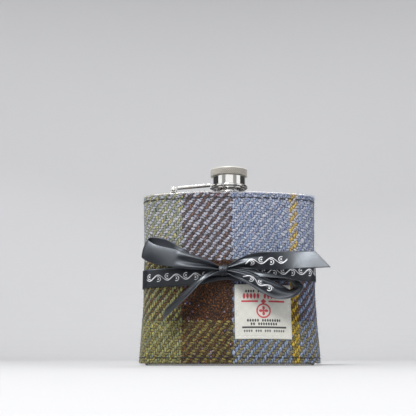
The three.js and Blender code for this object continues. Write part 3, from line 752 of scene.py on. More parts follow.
def thread_material(name, colour):
    """Two-ply sewing thread: a slanting twist on Object coordinates, with loose lint."""
    made, n = material(name)
    place = n.add("ShaderNodeTexCoord").outputs["Object"]
    split = n.add("ShaderNodeSeparateXYZ", {0: place})
    slant = n.math("ADD", split.outputs[0], n.math("ADD", split.outputs[1], split.outputs[2]))
    twist = n.math("SINE", n.math("MULTIPLY", slant, 2 * math.pi / (0.32 * MM)))
    lint = n.noise(place, 2600.0, 3.0)
    tone = n.mix(n.math("MULTIPLY", lint, 0.5), colour, [min(1.0, c * 2.2 + 0.02) for c in colour])
    shader = n.add("ShaderNodeBsdfPrincipled", {
        "Base Color": tone, "Roughness": 0.75, "Specular IOR Level": 0.3, "Sheen Weight": 0.2,
        "Normal": n.bump(twist, 0.5, 0.05 * MM)})
    n.surface(shader)
    return made


def plain_material(name, colour, roughness, scale, depth):
    """A matte material with a fine grain: felt, rubber or polymer."""
    made, n = material(name)
    place = n.add("ShaderNodeTexCoord").outputs["Object"]
    grain = n.noise(place, scale, 4.0, 0.7)
    tone = n.mix(n.math("MULTIPLY", grain, 0.4), colour, [c * 0.6 for c in colour])
    shader = n.add("ShaderNodeBsdfPrincipled", {
        "Base Color": tone, "Roughness": roughness, "Normal": n.bump(grain, 0.4, depth * MM)})
    n.surface(shader)
    return made


def fibre_material():
    """Wool hair, in the colour that each hair's mesh carries."""
    made, n = material("wool_hair")
    tint = n.add("ShaderNodeVertexColor", layer_name="Tint").outputs["Color"]
    shader = n.add("ShaderNodeBsdfPrincipled", {
        "Base Color": tint, "Roughness": 0.7, "Specular IOR Level": 0.3, "Sheen Weight": 0.3})
    n.surface(shader)
    return made


def steel():
    """Mirror polished steel of the flask's own parts, made once."""
    made = bpy.data.materials.get("mirror_steel")
    return made or steel_material("mirror_steel", bpy.context.scene.flask_steel.colour, 0.09)


def dress(node, made):
    """Puts a material on a CAD node that stays as it is."""
    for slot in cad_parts[node].material_slots:
        slot.material = made


# ---------------------------------------------------------------- the flask's steel

def plan_samples(offset=0.0, counts=(56, 10, 3, 10, 56)):
    """Arc lengths right round the plan, with as many on the front's run as on the back's."""
    ends = np.concatenate([[0.0], np.cumsum(run_lengths(offset))])
    runs = [np.linspace(a, b, n, endpoint=False) for a, b, n in zip(ends, ends[1:], counts)]
    half = np.concatenate(runs)
    return np.concatenate([half, [half_girth(offset)], -half[:0:-1]])


def plan_rings(samples, steps):
    """Grid rows round the plan: each step is an offset and a height."""
    rows = []
    for offset, height in steps:
        point, _ = plan(samples, np.full_like(samples, offset), 0.0)
        rows.append(np.column_stack([point, np.full(len(samples), height)]))
    return rows


def toward(rows, target, height, shares):
    """Rows that run level from a row to target points of the same number."""
    start = rows[-1][:, :2]
    return rows + [
        np.column_stack([start + (target - start) * t, np.full(len(start), height)]) for t in shares]


def quarter(start, end, corner, steps=6):
    """A quarter turn of [offset, height] from start to end, round the given corner point."""
    t = np.linspace(0, np.pi / 2, steps + 1)[:, None]
    start, end, corner = (np.array(p, float) for p in (start, end, corner))
    centre = start + end - corner
    return [tuple(p) for p in centre + (start - centre) * np.cos(t) + (end - centre) * np.sin(t)]


def middle_line(samples):
    """For each sample, the point of the bend's middle arc that it faces."""
    reach = run_lengths(0.0)
    along = np.abs(samples)
    back = half_girth(0.0) - along
    share = np.minimum(np.minimum(along / reach[0], back / reach[4]), 1.0)
    return bend_point(BEND_RADIUS, np.sign(samples) * share * CORNER_ANGLE)


BASE_EDGE = 1.2
SHOULDER_EDGE = 1.6
NECK_HOLE = 6.0


def base_pan(name):
    """A shallow pan: inside floor and wall, rim, outside wall, rolled edge and underside."""
    samples = plan_samples()
    top, low = BASE_HIGH[2], BASE_LOW[2]
    inner = [(-BASE_EDGE, low + SHEET_STEEL), (-SHEET_STEEL, low + BASE_EDGE), (-SHEET_STEEL, top)]
    outer = [(0.0, top)] + quarter((0.0, low + BASE_EDGE), (-BASE_EDGE, low), (0.0, low))
    middle = middle_line(samples)
    rows = plan_rings(samples, inner + outer)
    under = toward(rows, middle, low, (0.3, 0.65, 1.0))
    floor = toward(rows[:1], middle, low + SHEET_STEEL, (0.3, 0.65, 1.0))[:0:-1]
    return weld(grid_mesh(name, np.array(floor + under), wrap_u=True))


def shoulder_cover(name):
    """A lid with a rolled edge and a round hole for the neck, as one closed skin."""
    samples = plan_samples()
    low, top = SHOULDER_LOW[2], SHOULDER_HIGH[2]
    angle = -np.pi / 2 + np.pi * samples / half_girth(0.0)
    hole = NECK_HOLE * np.column_stack([np.cos(angle), np.sin(angle)])
    shares = (0.08, 0.25, 0.45, 0.65, 0.82, 0.95, 1.0)
    edge = plan_rings(samples, quarter((0.0, low), (-SHOULDER_EDGE, top), (0.0, top)))
    crown = toward(edge, hole, top, shares)
    ceiling = top - SHEET_STEEL
    inside = quarter((-SHEET_STEEL, low), (-SHOULDER_EDGE, ceiling), (-SHEET_STEEL, ceiling), 3)
    under = toward(plan_rings(samples, inside), hole, ceiling, shares)
    return weld(grid_mesh(name, np.array(crown + under[::-1]), wrap_u=True, wrap_v=True))


def threaded(name, root, crest, low, high, pitch, profile_above, profile_below, columns=96):
    """A round wall with a helical thread.

    The radius is the root plus the crest's height times an eased wave of height over pitch less
    turn, fading out at both ends. Plain profiles of [radius, height] go on below and above.
    """
    angle = np.linspace(0, 2 * np.pi, columns, endpoint=False)
    z = np.linspace(low, high, int((high - low) / pitch * 10) + 1)[:, None]
    wave = 0.5 + 0.5 * np.cos(2 * np.pi * (z / pitch - angle / (2 * np.pi)))
    wave = np.clip((wave - 0.25) * 1.6, 0, 1)
    fade = ease((z - low) / pitch) * ease((high - z) / pitch)
    r = root + (crest - root) * wave * fade
    body = np.stack([r * np.cos(angle), r * np.sin(angle), z + 0 * angle], axis=2)

    points = np.concatenate([revolve(profile_below, angle), body, revolve(profile_above, angle)])
    return weld(grid_mesh(name, points, wrap_u=True, wrap_v=True))


class FLASK_OT_body(bpy.types.Operator):
    """Make the steel base, shoulder and threaded neck, and polish the wall"""

    bl_idname = "flask.body"
    bl_label = "Steel body"

    def execute(self, context):
        dress("body_wall", steel())
        finish_piece(base_pan("base_pan"), "flask", steel(), "polished_steel", "base_plate")
        finish_piece(shoulder_cover("shoulder_cover"), "flask", steel(), "polished_steel", "shoulder_plate")
        low, top = NECK_LOW[2], NECK_HIGH[2]
        flange, tube, bore = NECK_HIGH[0], 6.7, 5.7
        below = rounded_profile([[bore, low], [flange, low], [flange, low + 0.8], [tube - 0.4, low + 0.8],
                                 [tube - 0.4, low + 2.2]], 0.25)
        mouth = [[tube - 0.4, top - 0.5], [tube - 0.5, top], [bore, top], [bore, top - 0.6]]
        above = rounded_profile(mouth, 0.2)
        neck = threaded("neck_threaded", tube - 0.4, tube, low + 2.4, top - 0.6, 1.5, above, below)
        finish_piece(neck, "flask", steel(), "polished_steel", "neck")
        return {"FINISHED"}


# ---------------------------------------------------------------- hinge and captive arm

HINGE = np.array([(PIN_LOW[0] + PIN_HIGH[0]) / 2, 0.0, (PIN_LOW[2] + PIN_HIGH[2]) / 2])
KNUCKLE_RADIUS = HINGE[2] - ARM_LOW[2]
KNUCKLE_HALF = 1.35
EAR_INNER = 1.5
PIN_RADIUS = 0.75
SHANK_RADIUS = 9.3
RISER_FACE = -SHANK_RADIUS - 0.45
RING_LOW = FERRULE_LOW[2] + 0.8
RING_TOP = RING_LOW + 1.2
ARM_THICKNESS = 1.1
ARM_HALF = 2.4


def rod_profile(radius, low, high, edge=0.15, bore=0.0):
    """A rod's side as [radius, place], closed on its axis or round its bore, with eased edges."""
    return rounded_profile([[bore, low], [radius, low], [radius, high], [bore, high]], edge)


def bracket_pieces():
    """Two ears about the pin, standing on a foot with a slot for the knuckle."""
    low, high = BRACKET_LOW, BRACKET_HIGH
    turn = np.linspace(0, np.pi, 15)
    ear = [[HINGE[0] + KNUCKLE_RADIUS * np.cos(t), HINGE[2] + KNUCKLE_RADIUS * np.sin(t)] for t in turn]
    web = KNUCKLE_RADIUS * 0.8
    ear += [[HINGE[0] - web, HINGE[2] - 1.0], [HINGE[0] - web, low[2]], [HINGE[0] + web, low[2]],
            [HINGE[0] + web, HINGE[2] - 1.0]]
    foot_top = low[2] + 0.7
    foot = [[low[0], low[2]], [high[0], low[2]], [high[0], foot_top], [low[0], foot_top]]
    bridge_start = HINGE[0] + KNUCKLE_RADIUS + 0.45
    bridge = [[bridge_start, low[2]], [high[0], low[2]], [high[0], foot_top], [bridge_start, foot_top]]
    made = []
    for side in (-1, 1):
        near, far = sorted((side * EAR_INNER, side * high[1]))
        made.append(slab("ear", ear, near, far, 0.14))
        made.append(slab("foot", foot, near, far, 0.12))
    made.append(slab("bridge", bridge, -EAR_INNER - 0.1, EAR_INNER + 0.1, 0.12))
    return made


def arm_pieces():
    """Knuckle, tongue, climbing strip with its riser, and the ring that holds the cap."""
    rise_end = ARM_HIGH[2]
    start_top = HINGE[2] + KNUCKLE_RADIUS
    reach = RISER_FACE - HINGE[0]
    top_at = lambda x: start_top + (rise_end - start_top) * (x - HINGE[0]) / reach
    wide = HINGE[0] + KNUCKLE_RADIUS + 0.55
    low = RING_LOW
    back = RISER_FACE - ARM_THICKNESS
    bend = 0.9
    turn = np.linspace(0, np.pi / 2, 7)[1:-1]
    outer = [[RISER_FACE - bend + bend * np.sin(t), rise_end - bend + bend * np.cos(t)] for t in turn]
    strip = [[wide, top_at(wide) - ARM_THICKNESS], [back, rise_end - ARM_THICKNESS], [back, low],
             [RISER_FACE, low], [RISER_FACE, rise_end - bend]] + outer[::-1]
    strip += [[RISER_FACE - bend, rise_end - 0.02], [wide, top_at(wide)]]
    tongue = [[HINGE[0] - 0.2, start_top - ARM_THICKNESS], [wide + 0.6, top_at(wide + 0.6) - ARM_THICKNESS],
              [wide + 0.6, top_at(wide + 0.6) - 0.02], [HINGE[0], start_top - 0.01]]
    inner, outer_edge, middle = 8.8, ARM_HIGH[0], (RING_LOW + RING_TOP) / 2
    ring = rounded_profile([[inner, middle], [inner, low], [outer_edge, low], [outer_edge, RING_TOP],
                            [inner, RING_TOP], [inner, middle]], 0.3)
    knuckle = rod_profile(KNUCKLE_RADIUS, -KNUCKLE_HALF, KNUCKLE_HALF, 0.2, PIN_RADIUS + 0.04)
    return [
        slab("strip", strip, -ARM_HALF, ARM_HALF, 0.2),
        slab("tongue", tongue, -KNUCKLE_HALF, KNUCKLE_HALF, 0.15),
        turned("ring", ring, 160),
        cross_bar("knuckle", knuckle, HINGE),
    ]


class FLASK_OT_hinge(bpy.types.Operator):
    """Make the hinge bracket, its pin and the captive arm"""

    bl_idname = "flask.hinge"
    bl_label = "Hinge and arm"

    def execute(self, context):
        colour = context.scene.flask_steel.colour
        worn = steel_material("arm_steel", colour, 0.11, wave=0.10)
        bracket = join("hinge_bracket_ears", bracket_pieces())
        finish_piece(bracket, "flask", steel(), "polished_steel", "hinge_bracket")
        end, tip = EAR_INNER + 1.64, PIN_HIGH[1]
        head = PIN_HIGH[0] - HINGE[0]
        side = [[0.0, end], [PIN_RADIUS, end], [head, end], [head, tip - 0.25], [head - 0.5, tip], [0.0, tip]]
        mirrored = [[r, -y] for r, y in side[::-1]]
        profile = rounded_profile(mirrored[:-1] + [[PIN_RADIUS, 0.0]] + side[1:], 0.16)
        pin = cross_bar("hinge_pin_riveted", profile, HINGE)
        finish_piece(pin, "flask", steel(), "polished_steel", "hinge_pin")
        finish_piece(join("captive_arm_strip", arm_pieces()), "arm", worn, "polished_steel", "captive_arm")
        return {"FINISHED"}


# ---------------------------------------------------------------- cap

def knurled_head(name, knurls):
    """The cap's head: a diamond knurled rim, rolled edges, a flat top and a recess below.

    With a and b the two slants of a diamond net over angle and height, the rim stands out by the
    lower of their two triangle waves.
    """
    radius, low, top = HEAD_HIGH[0], HEAD_LOW[2], HEAD_HIGH[2]
    edge, depth = 0.45, 0.42
    columns, per_knurl = knurls * 8, 2 * math.pi * radius / knurls
    angle = np.linspace(0, 2 * np.pi, columns, endpoint=False)
    z = np.linspace(low + 0.18, top - edge, 41)[:, None]
    around = knurls * angle / (2 * np.pi)
    triangle = lambda t: 1 - 2 * np.abs(t - np.floor(t) - 0.5)
    rise = (z - low) / (per_knurl * 1.05)
    net = np.minimum(triangle(around + rise), triangle(around - rise))
    bite = ease(np.clip(net * 1.7 - 0.12, 0, 1))
    fade = ease((top - edge - z) / 0.16) * ease((z - low - 0.18) / 0.12)
    r = radius - 0.02 - depth * (1 - bite) * np.maximum(fade, np.where(z < low + 1, 0.8, 0.25))
    rim = np.stack([r * np.cos(angle), r * np.sin(angle), z + 0 * angle], axis=2)

    recess, ceiling = 8.79, FERRULE_HIGH[2] + 0.04
    below = [[0.0, ceiling], [recess, ceiling], [recess, low], [radius - 0.3, low]]
    turn = np.linspace(0, np.pi / 2, 6)
    above = [[radius - edge + (edge - 0.08) * np.cos(t), top - edge + edge * np.sin(t)] for t in turn[1:]]
    above += [[8.0, top], [4.0, top], [0.0, top]]
    points = np.concatenate([revolve(below, angle), rim, revolve(above, angle)])
    # The Tint carries painted light: 1 for the painted highlight on the knurl's points and the plain faces,
    # falling to 0 for painted shade in the grooves.
    level = np.concatenate([np.ones((len(below), columns)), bite, np.ones((len(above), columns))])
    tint = np.repeat(level[:, :, None], 4, axis=2)
    return weld(grid_mesh(name, points, wrap_u=True, colour=tint))


class FLASK_OT_cap(bpy.types.Operator):
    """Make the knurled cap with its shank, thread insert and seal"""

    bl_idname = "flask.cap"
    bl_label = "Cap"

    def execute(self, context):
        settings = context.scene.flask_steel
        knurled = knurl_material(settings.colour)
        head = knurled_head("cap_head_knurled", settings.knurls)
        finish_piece(head, "cap", knurled, "knurled_steel", "cap_head")
        low, top, bore = FERRULE_LOW[2], FERRULE_HIGH[2], 8.24
        lip, groove, shank, under = 9.2, 8.65, SHANK_RADIUS, 8.75
        start, end, middle = RING_TOP + 0.1, HEAD_LOW[2] - 0.55, (low + top) / 2
        profile = rounded_profile([
            [bore, middle], [bore, low], [lip, low], [lip, low + 0.7], [groove, low + 0.7], [groove, start],
            [shank, start], [shank, end], [under, end], [under, top], [bore, top], [bore, middle]], 0.16)
        finish_piece(turned("cap_shank", profile, 192), "cap", steel(), "polished_steel", "cap_ferrule")
        root, wall = 8.0, INSERT_HIGH[0]
        insert_low, insert_top = INSERT_LOW[2], INSERT_HIGH[2]
        below = [[wall, insert_top], [wall, insert_low], [root, insert_low], [root, insert_low + 0.2]]
        above = [[root, insert_top - 0.2], [root, insert_top]]
        insert = threaded("cap_thread", root, 7.78, insert_low + 0.4, insert_top - 0.4, 1.5, above, below)
        finish_piece(insert, "cap", steel(), "polished_steel", "cap_thread_insert")
        seal_low, seal_top, seal_radius = SEAL_LOW[2], SEAL_HIGH[2], SEAL_HIGH[0]
        seal = turned("cap_seal_disc", rounded_profile(
            [[0, seal_low], [5.0, seal_low], [5.4, seal_low + 0.12], [7.2, seal_low + 0.12],
             [seal_radius, seal_low], [seal_radius, seal_top], [0, seal_top]], 0.15), 96)
        rubber = plain_material("seal", (0.55, 0.55, 0.52), 0.6, 900.0, 0.02)
        finish_piece(seal, "cap", rubber, "seal", "cap_seal")
        return {"FINISHED"}


# ---------------------------------------------------------------- tweed sleeve

CLOTH_REFERENCE = 1.8
HEM_TURN = 0.6
HEM_DEPTH = 2.6
HAIR_CLEARANCE = 0.08
CELL_CROWN = 0.9
STITCH_LEVELS = (SLEEVE_LOW[2] + STITCH_INSET, SLEEVE_HIGH[2] - STITCH_INSET)


def yarn_drift(u, v, seed):
    """Unevenness of the yarns: a sum of slanting waves that meet again once round the sleeve."""
    rng = np.random.default_rng(seed)
    warps = bpy.context.scene.flask_tweed.warps
    total = 0.0 * (u + v)
    for _ in range(9):
        turns, climb, phase = rng.integers(12, 90), rng.uniform(-2.2, 2.2), rng.uniform(0, 6.28)
        total = total + np.sin(2 * np.pi * turns * u / warps + climb * v + phase)
    return total * 0.075


def twill(u, v):
    """Height of a 2/2 twill at a place counted in yarns, and whether the warp shows there.

    Each yarn's crown follows a cosine over four crossings, a step later on each next yarn, and
    adds a round section across the yarn. The higher yarn shows.
    """
    i, j = np.floor(u), np.floor(v)
    section = lambda f: CELL_CROWN * np.sqrt(np.maximum(1 - (2 * f - 1) ** 2, 0))
    warp = np.cos(np.pi / 2 * (v - i)) + section(u - i)
    weft = np.cos(np.pi / 2 * (u - j - 3)) + section(v - j)
    return np.maximum(warp, weft), warp > weft


def hem_path(v, pitch):
    """Where the cloth goes as v climbs: [offset, height] and its outward direction.

    Between the hems it follows the face. At each end it turns half round a small radius to the
    inside and comes back behind itself.
    """
    z = v * pitch
    low, high = SLEEVE_LOW[2] + HEM_TURN, SLEEVE_HIGH[2] - HEM_TURN
    past = np.maximum(z - high, 0) - np.maximum(low - z, 0)
    turn = np.clip(past / HEM_TURN, -np.pi, np.pi)
    back = np.maximum(np.abs(past) - np.pi * HEM_TURN, 0) * np.sign(past)
    level = np.clip(z, low, high)
    offset = cloth_face(level) - HEM_TURN * (1 - np.cos(turn))
    return offset, level + HEM_TURN * np.sin(turn) - back, np.cos(turn), np.sin(turn)


def cloth_points(u, v, lift=0.0):
    """Places on the tweed for yarn counts u and v, with the twill's relief and the sewn dents."""
    settings = bpy.context.scene.flask_tweed
    pitch_u = 2 * half_girth(CLOTH_REFERENCE) / settings.warps
    offset, level, out, up = hem_path(v, settings.weft_pitch)
    uu, vv = u + yarn_drift(u, v, 3), v + yarn_drift(u, v, 8)
    height, _ = twill(uu, vv)
    dent = sum(np.exp(-((v * settings.weft_pitch - z) / 0.5) ** 2) for z in STITCH_LEVELS)
    pucker = 0.6 + 0.4 * np.cos(2 * np.pi * u * pitch_u / STITCH_PITCH)
    swell = 0.07 * np.sin(u * 0.31 + 0.9 * np.sin(v * 0.17)) + 0.05 * np.sin(v * 0.43 + u * 0.11)
    rise = settings.relief * height - 0.26 + swell - 0.42 * dent * pucker + lift
    point, _ = plan(u * pitch_u, offset + rise * out, CLOTH_REFERENCE)
    return np.concatenate([point, (level + rise * up)[..., None]], axis=-1), np.stack([uu, vv], axis=-1)


def tweed_sheet(name, start, end, per_warp):
    """Cloth from one warp yarn to another, its grid fine enough to show each crossing."""
    pitch = bpy.context.scene.flask_tweed.weft_pitch
    spare = np.pi * HEM_TURN + HEM_DEPTH
    low = (SLEEVE_LOW[2] + HEM_TURN - spare) / pitch
    high = (SLEEVE_HIGH[2] - HEM_TURN + spare) / pitch
    u = np.linspace(start, end, int(round((end - start) * per_warp)) + 1)
    v = np.linspace(low, high, int((high - low) * 3) + 1)
    u, v = np.meshgrid(u, v)
    points, uv = cloth_points(u, v)
    return grid_mesh(name, points, uv=uv)


def band_colours(place, bands, shade):
    """For each place, the colour of the band that it lies in: 0 body, 1 pale hairs, 2 dark ones."""
    starts = np.array([start for start, _ in bands])
    table = np.array([colours[shade] for _, colours in bands])
    return table[np.clip(np.searchsorted(starts, place, side="right") - 1, 0, len(bands) - 1)]


def wool_hairs(name):
    """Hairs that stand off the wool, thickest along the hems: short bent tapering tubes.

    A hair leaves the cloth along a slanted direction and curls by a second, square to it.
    """
    settings = bpy.context.scene.flask_tweed
    rng = np.random.default_rng(41)
    count, edge = settings.fibres, settings.fibres // 3
    top, bottom = SLEEVE_HIGH[2] / settings.weft_pitch, SLEEVE_LOW[2] / settings.weft_pitch
    u = rng.uniform(-settings.warps / 2, settings.warps / 2, count)
    v = rng.uniform(bottom, top, count)
    v[:edge] = top + rng.normal(0.0, 0.35, edge)
    v[edge:edge + edge // 3] = bottom + rng.normal(0.0, 0.35, edge // 3)
    root, _ = cloth_points(u, v, -0.05)
    tip, _ = cloth_points(u, v, 0.4)
    out = tip - root
    out /= np.linalg.norm(out, axis=1, keepdims=True)
    lean = out + rng.normal(0, 0.75, (count, 3))
    lean /= np.linalg.norm(lean, axis=1, keepdims=True)
    inward = np.minimum((lean * out).sum(axis=1, keepdims=True) - 0.15, 0)
    lean -= 1.6 * inward * out
    curl = np.cross(lean, rng.normal(0, 1, (count, 3)))
    curl /= np.linalg.norm(curl, axis=1, keepdims=True)
    length = rng.gamma(3.0, 0.34, (count, 1, 1)) + 0.4
    t = np.linspace(0, 1, 5)[None, :, None]
    bend = rng.uniform(0.1, 0.5, (count, 1, 1))
    path = root[:, None] + length * (t * lean[:, None] + bend * t ** 2 * curl[:, None])
    radius = np.array([0.045, 0.042, 0.036, 0.026, 0.0]) * rng.uniform(0.7, 1.2, (count, 1))
    pitch_u = 2 * half_girth(CLOTH_REFERENCE) / settings.warps
    shade = rng.random(count)[:, None]
    arc, level = u * pitch_u, v * settings.weft_pitch
    warp = np.where(shade < 0.6, band_colours(arc, WARP_BANDS, 0), band_colours(arc, WARP_BANDS, 1))
    weft = np.where(shade < 0.6, band_colours(level, WEFT_BANDS, 0), band_colours(level, WEFT_BANDS, 1))
    tint = np.where(rng.random(count)[:, None] < 0.5, warp, weft) * 1.15 + 0.03
    tint = np.concatenate([tint, np.ones((count, 1))], axis=1)
    clear = path[..., 2].min(axis=1) > HAIR_CLEARANCE
    return tubes(name, path[clear], radius[clear], curl[clear][:, None], sides=3, colour=tint[clear])


class FLASK_OT_sleeve(bpy.types.Operator):
    """Weave the tweed sleeve, with its turned hems and stray hairs"""

    bl_idname = "flask.sleeve"
    bl_label = "Tweed sleeve"

    def execute(self, context):
        settings = context.scene.flask_tweed
        cloth = tweed_material(settings)
        quarter_count = settings.warps // 4
        seam = 2 * quarter_count
        spans = {"tweed_front": [(-quarter_count, quarter_count, 4)],
                 "tweed_back": [(quarter_count, seam, 3), (-seam, -quarter_count, 3)]}
        for name, parts in spans.items():
            piece = join(name, [tweed_sheet(name, *part) for part in parts])
            finish_piece(piece, "flask", cloth, "tweed", "sleeve_tweed")
        finish_piece(wool_hairs("wool_hairs"), "flask", fibre_material(), "tweed")
        felt = plain_material("lining_felt", (0.03, 0.03, 0.035), 0.95, 1800.0, 0.08)
        dress("sleeve_lining", felt)
        return {"FINISHED"}


# ---------------------------------------------------------------- stitching

STITCH_PITCH = 4.6
STITCH_LENGTH = 4.25
THREAD_RADIUS = 0.30


def running_stitches(name, level):
    """Stitches right round the sleeve at a height: each an arched thread with its ends sunk in."""
    settings = bpy.context.scene.flask_tweed
    pitch_u = 2 * half_girth(CLOTH_REFERENCE) / settings.warps
    girth = 2 * half_girth(CLOTH_REFERENCE)
    count = int(round(girth / STITCH_PITCH))
    start = (np.arange(count) / count - 0.5) * girth
    t = np.linspace(-0.5, 0.5, 9)
    u = (start[:, None] + t * STITCH_LENGTH) / pitch_u
    v = np.full_like(u, level / settings.weft_pitch)
    offset, z, _, _ = hem_path(v, settings.weft_pitch)
    sink = 0.02 - 0.42 * (2 * np.abs(t)) ** 4
    place, normal = plan(u * pitch_u, offset + sink, CLOTH_REFERENCE)
    wander = 0.12 * np.sin(np.arange(count) * 2.4)[:, None]
    path = np.concatenate([place, (z + wander)[..., None]], axis=2)
    out = np.concatenate([normal, 0 * normal[..., :1]], axis=2)
    radii = THREAD_RADIUS * np.array([0, 0.75, 1, 1, 1, 1, 1, 0.75, 0])
    return tubes(name, path, radii, out, sides=7)


def back_seam(name):
    """An upright row of stitches down the middle of the back, where the sleeve is joined."""
    low, high = SLEEVE_LOW[2] + 3.9, SLEEVE_HIGH[2] - 3.9
    count = int((high - low) / 3.4)
    centre = low + (np.arange(count) + 0.5) * (high - low) / count
    t = np.linspace(-0.5, 0.5, 9)
    z = centre[:, None] + t * 2.7
    offset = cloth_face(z) + 0.02 - 0.42 * (2 * np.abs(t)) ** 4
    place, normal = plan(np.full_like(z, half_girth(CLOTH_REFERENCE)), offset, CLOTH_REFERENCE)
    path = np.concatenate([place, z[..., None]], axis=2)
    out = np.concatenate([normal, 0 * normal[..., :1]], axis=2)
    radii = THREAD_RADIUS * np.array([0, 0.75, 1, 1, 1, 1, 1, 0.75, 0])
    return tubes(name, path, radii, out, sides=7)


class FLASK_OT_stitching(bpy.types.Operator):
    """Sew the hems and the back seam with black thread"""

    bl_idname = "flask.stitching"
    bl_label = "Stitching"

    def execute(self, context):
        thread = thread_material("black_thread", (0.012, 0.012, 0.014))
        names = ("stitches_bottom", "stitches_top")
        rows = zip(names, STITCH_LEVELS, ("bottom_stitch_thread", "top_stitch_thread"))
        for name, level, node in rows:
            finish_piece(running_stitches(name, level), "flask", thread, "black_thread", node)
        finish_piece(back_seam("stitches_back"), "flask", thread, "black_thread", "back_seam_thread")
        return {"FINISHED"}


# ---------------------------------------------------------------- woven label

LABEL_ARC = (2.4, 33.8)
LABEL_STITCH = 1.5
LABEL_BACK = 0.12
LABEL_FRONT = 0.5


def bar(x, y, x0, x1, middle, thickness):
    """True inside a level bar of the label."""
    return (x > x0) & (x < x1) & (np.abs(y - middle) < thickness / 2)


def blocks(x, y, x0, x1, middle, height, pitch, gaps):
    """True inside a row of small upright lozenges, with wider gaps where the row breaks."""
    count = np.floor((x - x0) / pitch)
    across = np.abs(x - x0 - (count + 0.5) * pitch) / (pitch * 0.40)
    shape = across ** 1.6 + (np.abs(y - middle) / (height / 2)) ** 1.6 < 1
    return shape & (x > x0) & (x < x1) & ~np.isin(count, gaps)


def label_figure(x, y):
    """The woven figure: x from the left edge and y down from the top, in mm.

    Red is a row of lozenges, a rule parted in the middle and a ring with a star of four leaves in
    it. Black is three rows of small lozenges and a rule. It says nothing.
    """
    ring_x, ring_y = 15.7, 14.4
    dx, dy = x - ring_x, y - ring_y
    reach, turn = np.hypot(dx, dy), np.arctan2(dy, dx)
    red = blocks(x, y, 4.2, 26.2, 6.4, 3.2, 1.9, [5])
    red |= bar(x, y, 3.6, 12.7, 9.25, 0.95) | bar(x, y, 18.5, 27.5, 9.3, 0.95)
    red |= np.abs(reach - 3.6) < 0.42
    red |= reach < 2.8 * np.abs(np.cos(2 * turn)) ** 0.7 - 0.25
    red |= np.abs(dx) + np.abs(y - 9.3) < 1.5
    black = blocks(x, y, 5.6, 25.4, 3.8, 1.6, 1.35, [4, 10])
    black |= blocks(x, y, 6.4, 24.8, 19.6, 1.65, 1.35, [5])
    black |= blocks(x, y, 8.3, 23.0, 21.5, 1.65, 1.35, [2])
    black |= bar(x, y, 3.9, 28.0, 23.35, 0.95)
    faint = blocks(x, y, 4.6, 27.4, 25.2, 1.5, 1.25, [4, 8, 12])
    return red, black, faint


def label_patch(name, settings):
    """The label as a thin closed pad that follows the cloth, with its figure in the Tint colours.

    Its face swells a little between the stitches and dips at them, and rolls under at its edges.
    """
    arc = np.linspace(LABEL_ARC[0], LABEL_ARC[1], 222)
    z = np.linspace(LABEL_LOW[2], LABEL_HIGH[2], 208)
    arc, z = np.meshgrid(arc, z)
    x, y = arc - LABEL_ARC[0], LABEL_HIGH[2] - z
    edge = np.minimum(np.minimum(x, LABEL_ARC[1] - arc), np.minimum(y, z - LABEL_LOW[2]))
    roll = np.sqrt(np.clip(1 - (1 - np.clip(edge / 0.45, 0, 1)) ** 2, 0, 1))
    seam = np.exp(-((edge - LABEL_STITCH) / 0.35) ** 2)
    pucker = 0.5 + 0.5 * np.cos(2 * np.pi * (x + y) / 2.3)
    wave = 0.05 * np.sin(x * 0.55 + 1.0) + 0.05 * np.sin(y * 0.7 + x * 0.2)
    lift = LABEL_BACK + (LABEL_FRONT - LABEL_BACK) * roll + wave * roll - 0.10 * seam * (0.5 + pucker)
    # The label's outline isn't quite true: its sides lean and bow by a fraction of a millimetre.
    lean = 0.25 * np.sin(np.pi * y / 29.6) * (x / 31.4 - 0.5)
    point, _ = plan(arc + lean, cloth_face(z) + lift, CLOTH_REFERENCE)
    points = np.concatenate([point, (z + 0.2 * np.sin(x * 0.11))[..., None]], axis=2)
    red, black, faint = label_figure(x, y)
    mottle = 0.97 + 0.03 * np.sin(x * 1.3) * np.sin(y * 1.1)
    ground = np.array(settings.ground)[None, None] * mottle[..., None]
    tint = np.where(red[..., None], np.array(settings.figure), ground)
    tint = np.where(black[..., None], (0.02, 0.02, 0.025), tint)
    tint = np.where(faint[..., None], (0.10, 0.10, 0.10), tint)
    tint = np.concatenate([tint, np.ones_like(tint[..., :1])], axis=2)
    piece = grid_mesh(name, points, uv=np.stack([x, y], axis=2), colour=tint)
    return modifier(piece, "SOLIDIFY", thickness=0.14 * MM, offset=-1.0)


def label_stitches(name):
    """White stitches a little inside the label's edge, on all four sides."""
    x0, x1 = LABEL_ARC[0] + LABEL_STITCH, LABEL_ARC[1] - LABEL_STITCH
    z0, z1 = LABEL_LOW[2] + LABEL_STITCH, LABEL_HIGH[2] - LABEL_STITCH
    t = np.linspace(-0.5, 0.5, 7)
    rows = []
    for a, b in (((x0, z0), (x1, z0)), ((x1, z0), (x1, z1)), ((x1, z1), (x0, z1)), ((x0, z1), (x0, z0))):
        a, b = np.array(a), np.array(b)
        count = int(round(np.linalg.norm(b - a) / 2.3))
        centre = (np.arange(count)[:, None] + 0.5) / count
        share = centre + t * 0.72 / count
        rows.append(a + (b - a) * share[..., None])
    line = np.concatenate(rows)
    arc, z = line[..., 0], line[..., 1]
    sink = LABEL_FRONT - 0.02 - 0.26 * (2 * np.abs(t)) ** 4
    point, normal = plan(arc, cloth_face(z) + sink, CLOTH_REFERENCE)
    path = np.concatenate([point, z[..., None]], axis=2)
    out = np.concatenate([normal, 0 * normal[..., :1]], axis=2)
    radii = 0.14 * np.array([0, 0.8, 1, 1, 1, 0.8, 0])
    return tubes(name, path, radii, out, sides=6)


class FLASK_OT_label(bpy.types.Operator):
    """Weave the label, with a generic figure, and sew it on"""

    bl_idname = "flask.label"
    bl_label = "Woven label"

    def execute(self, context):
        patch = label_patch("label_woven", context.scene.flask_label)
        finish_piece(patch, "flask", label_material(), "woven_label", "woven_label")
        thread = thread_material("white_thread", (0.60, 0.59, 0.55))
        stitches = label_stitches("label_stitches")
        finish_piece(stitches, "flask", thread, "white_thread", "label_stitch_thread")
        return {"FINISHED"}


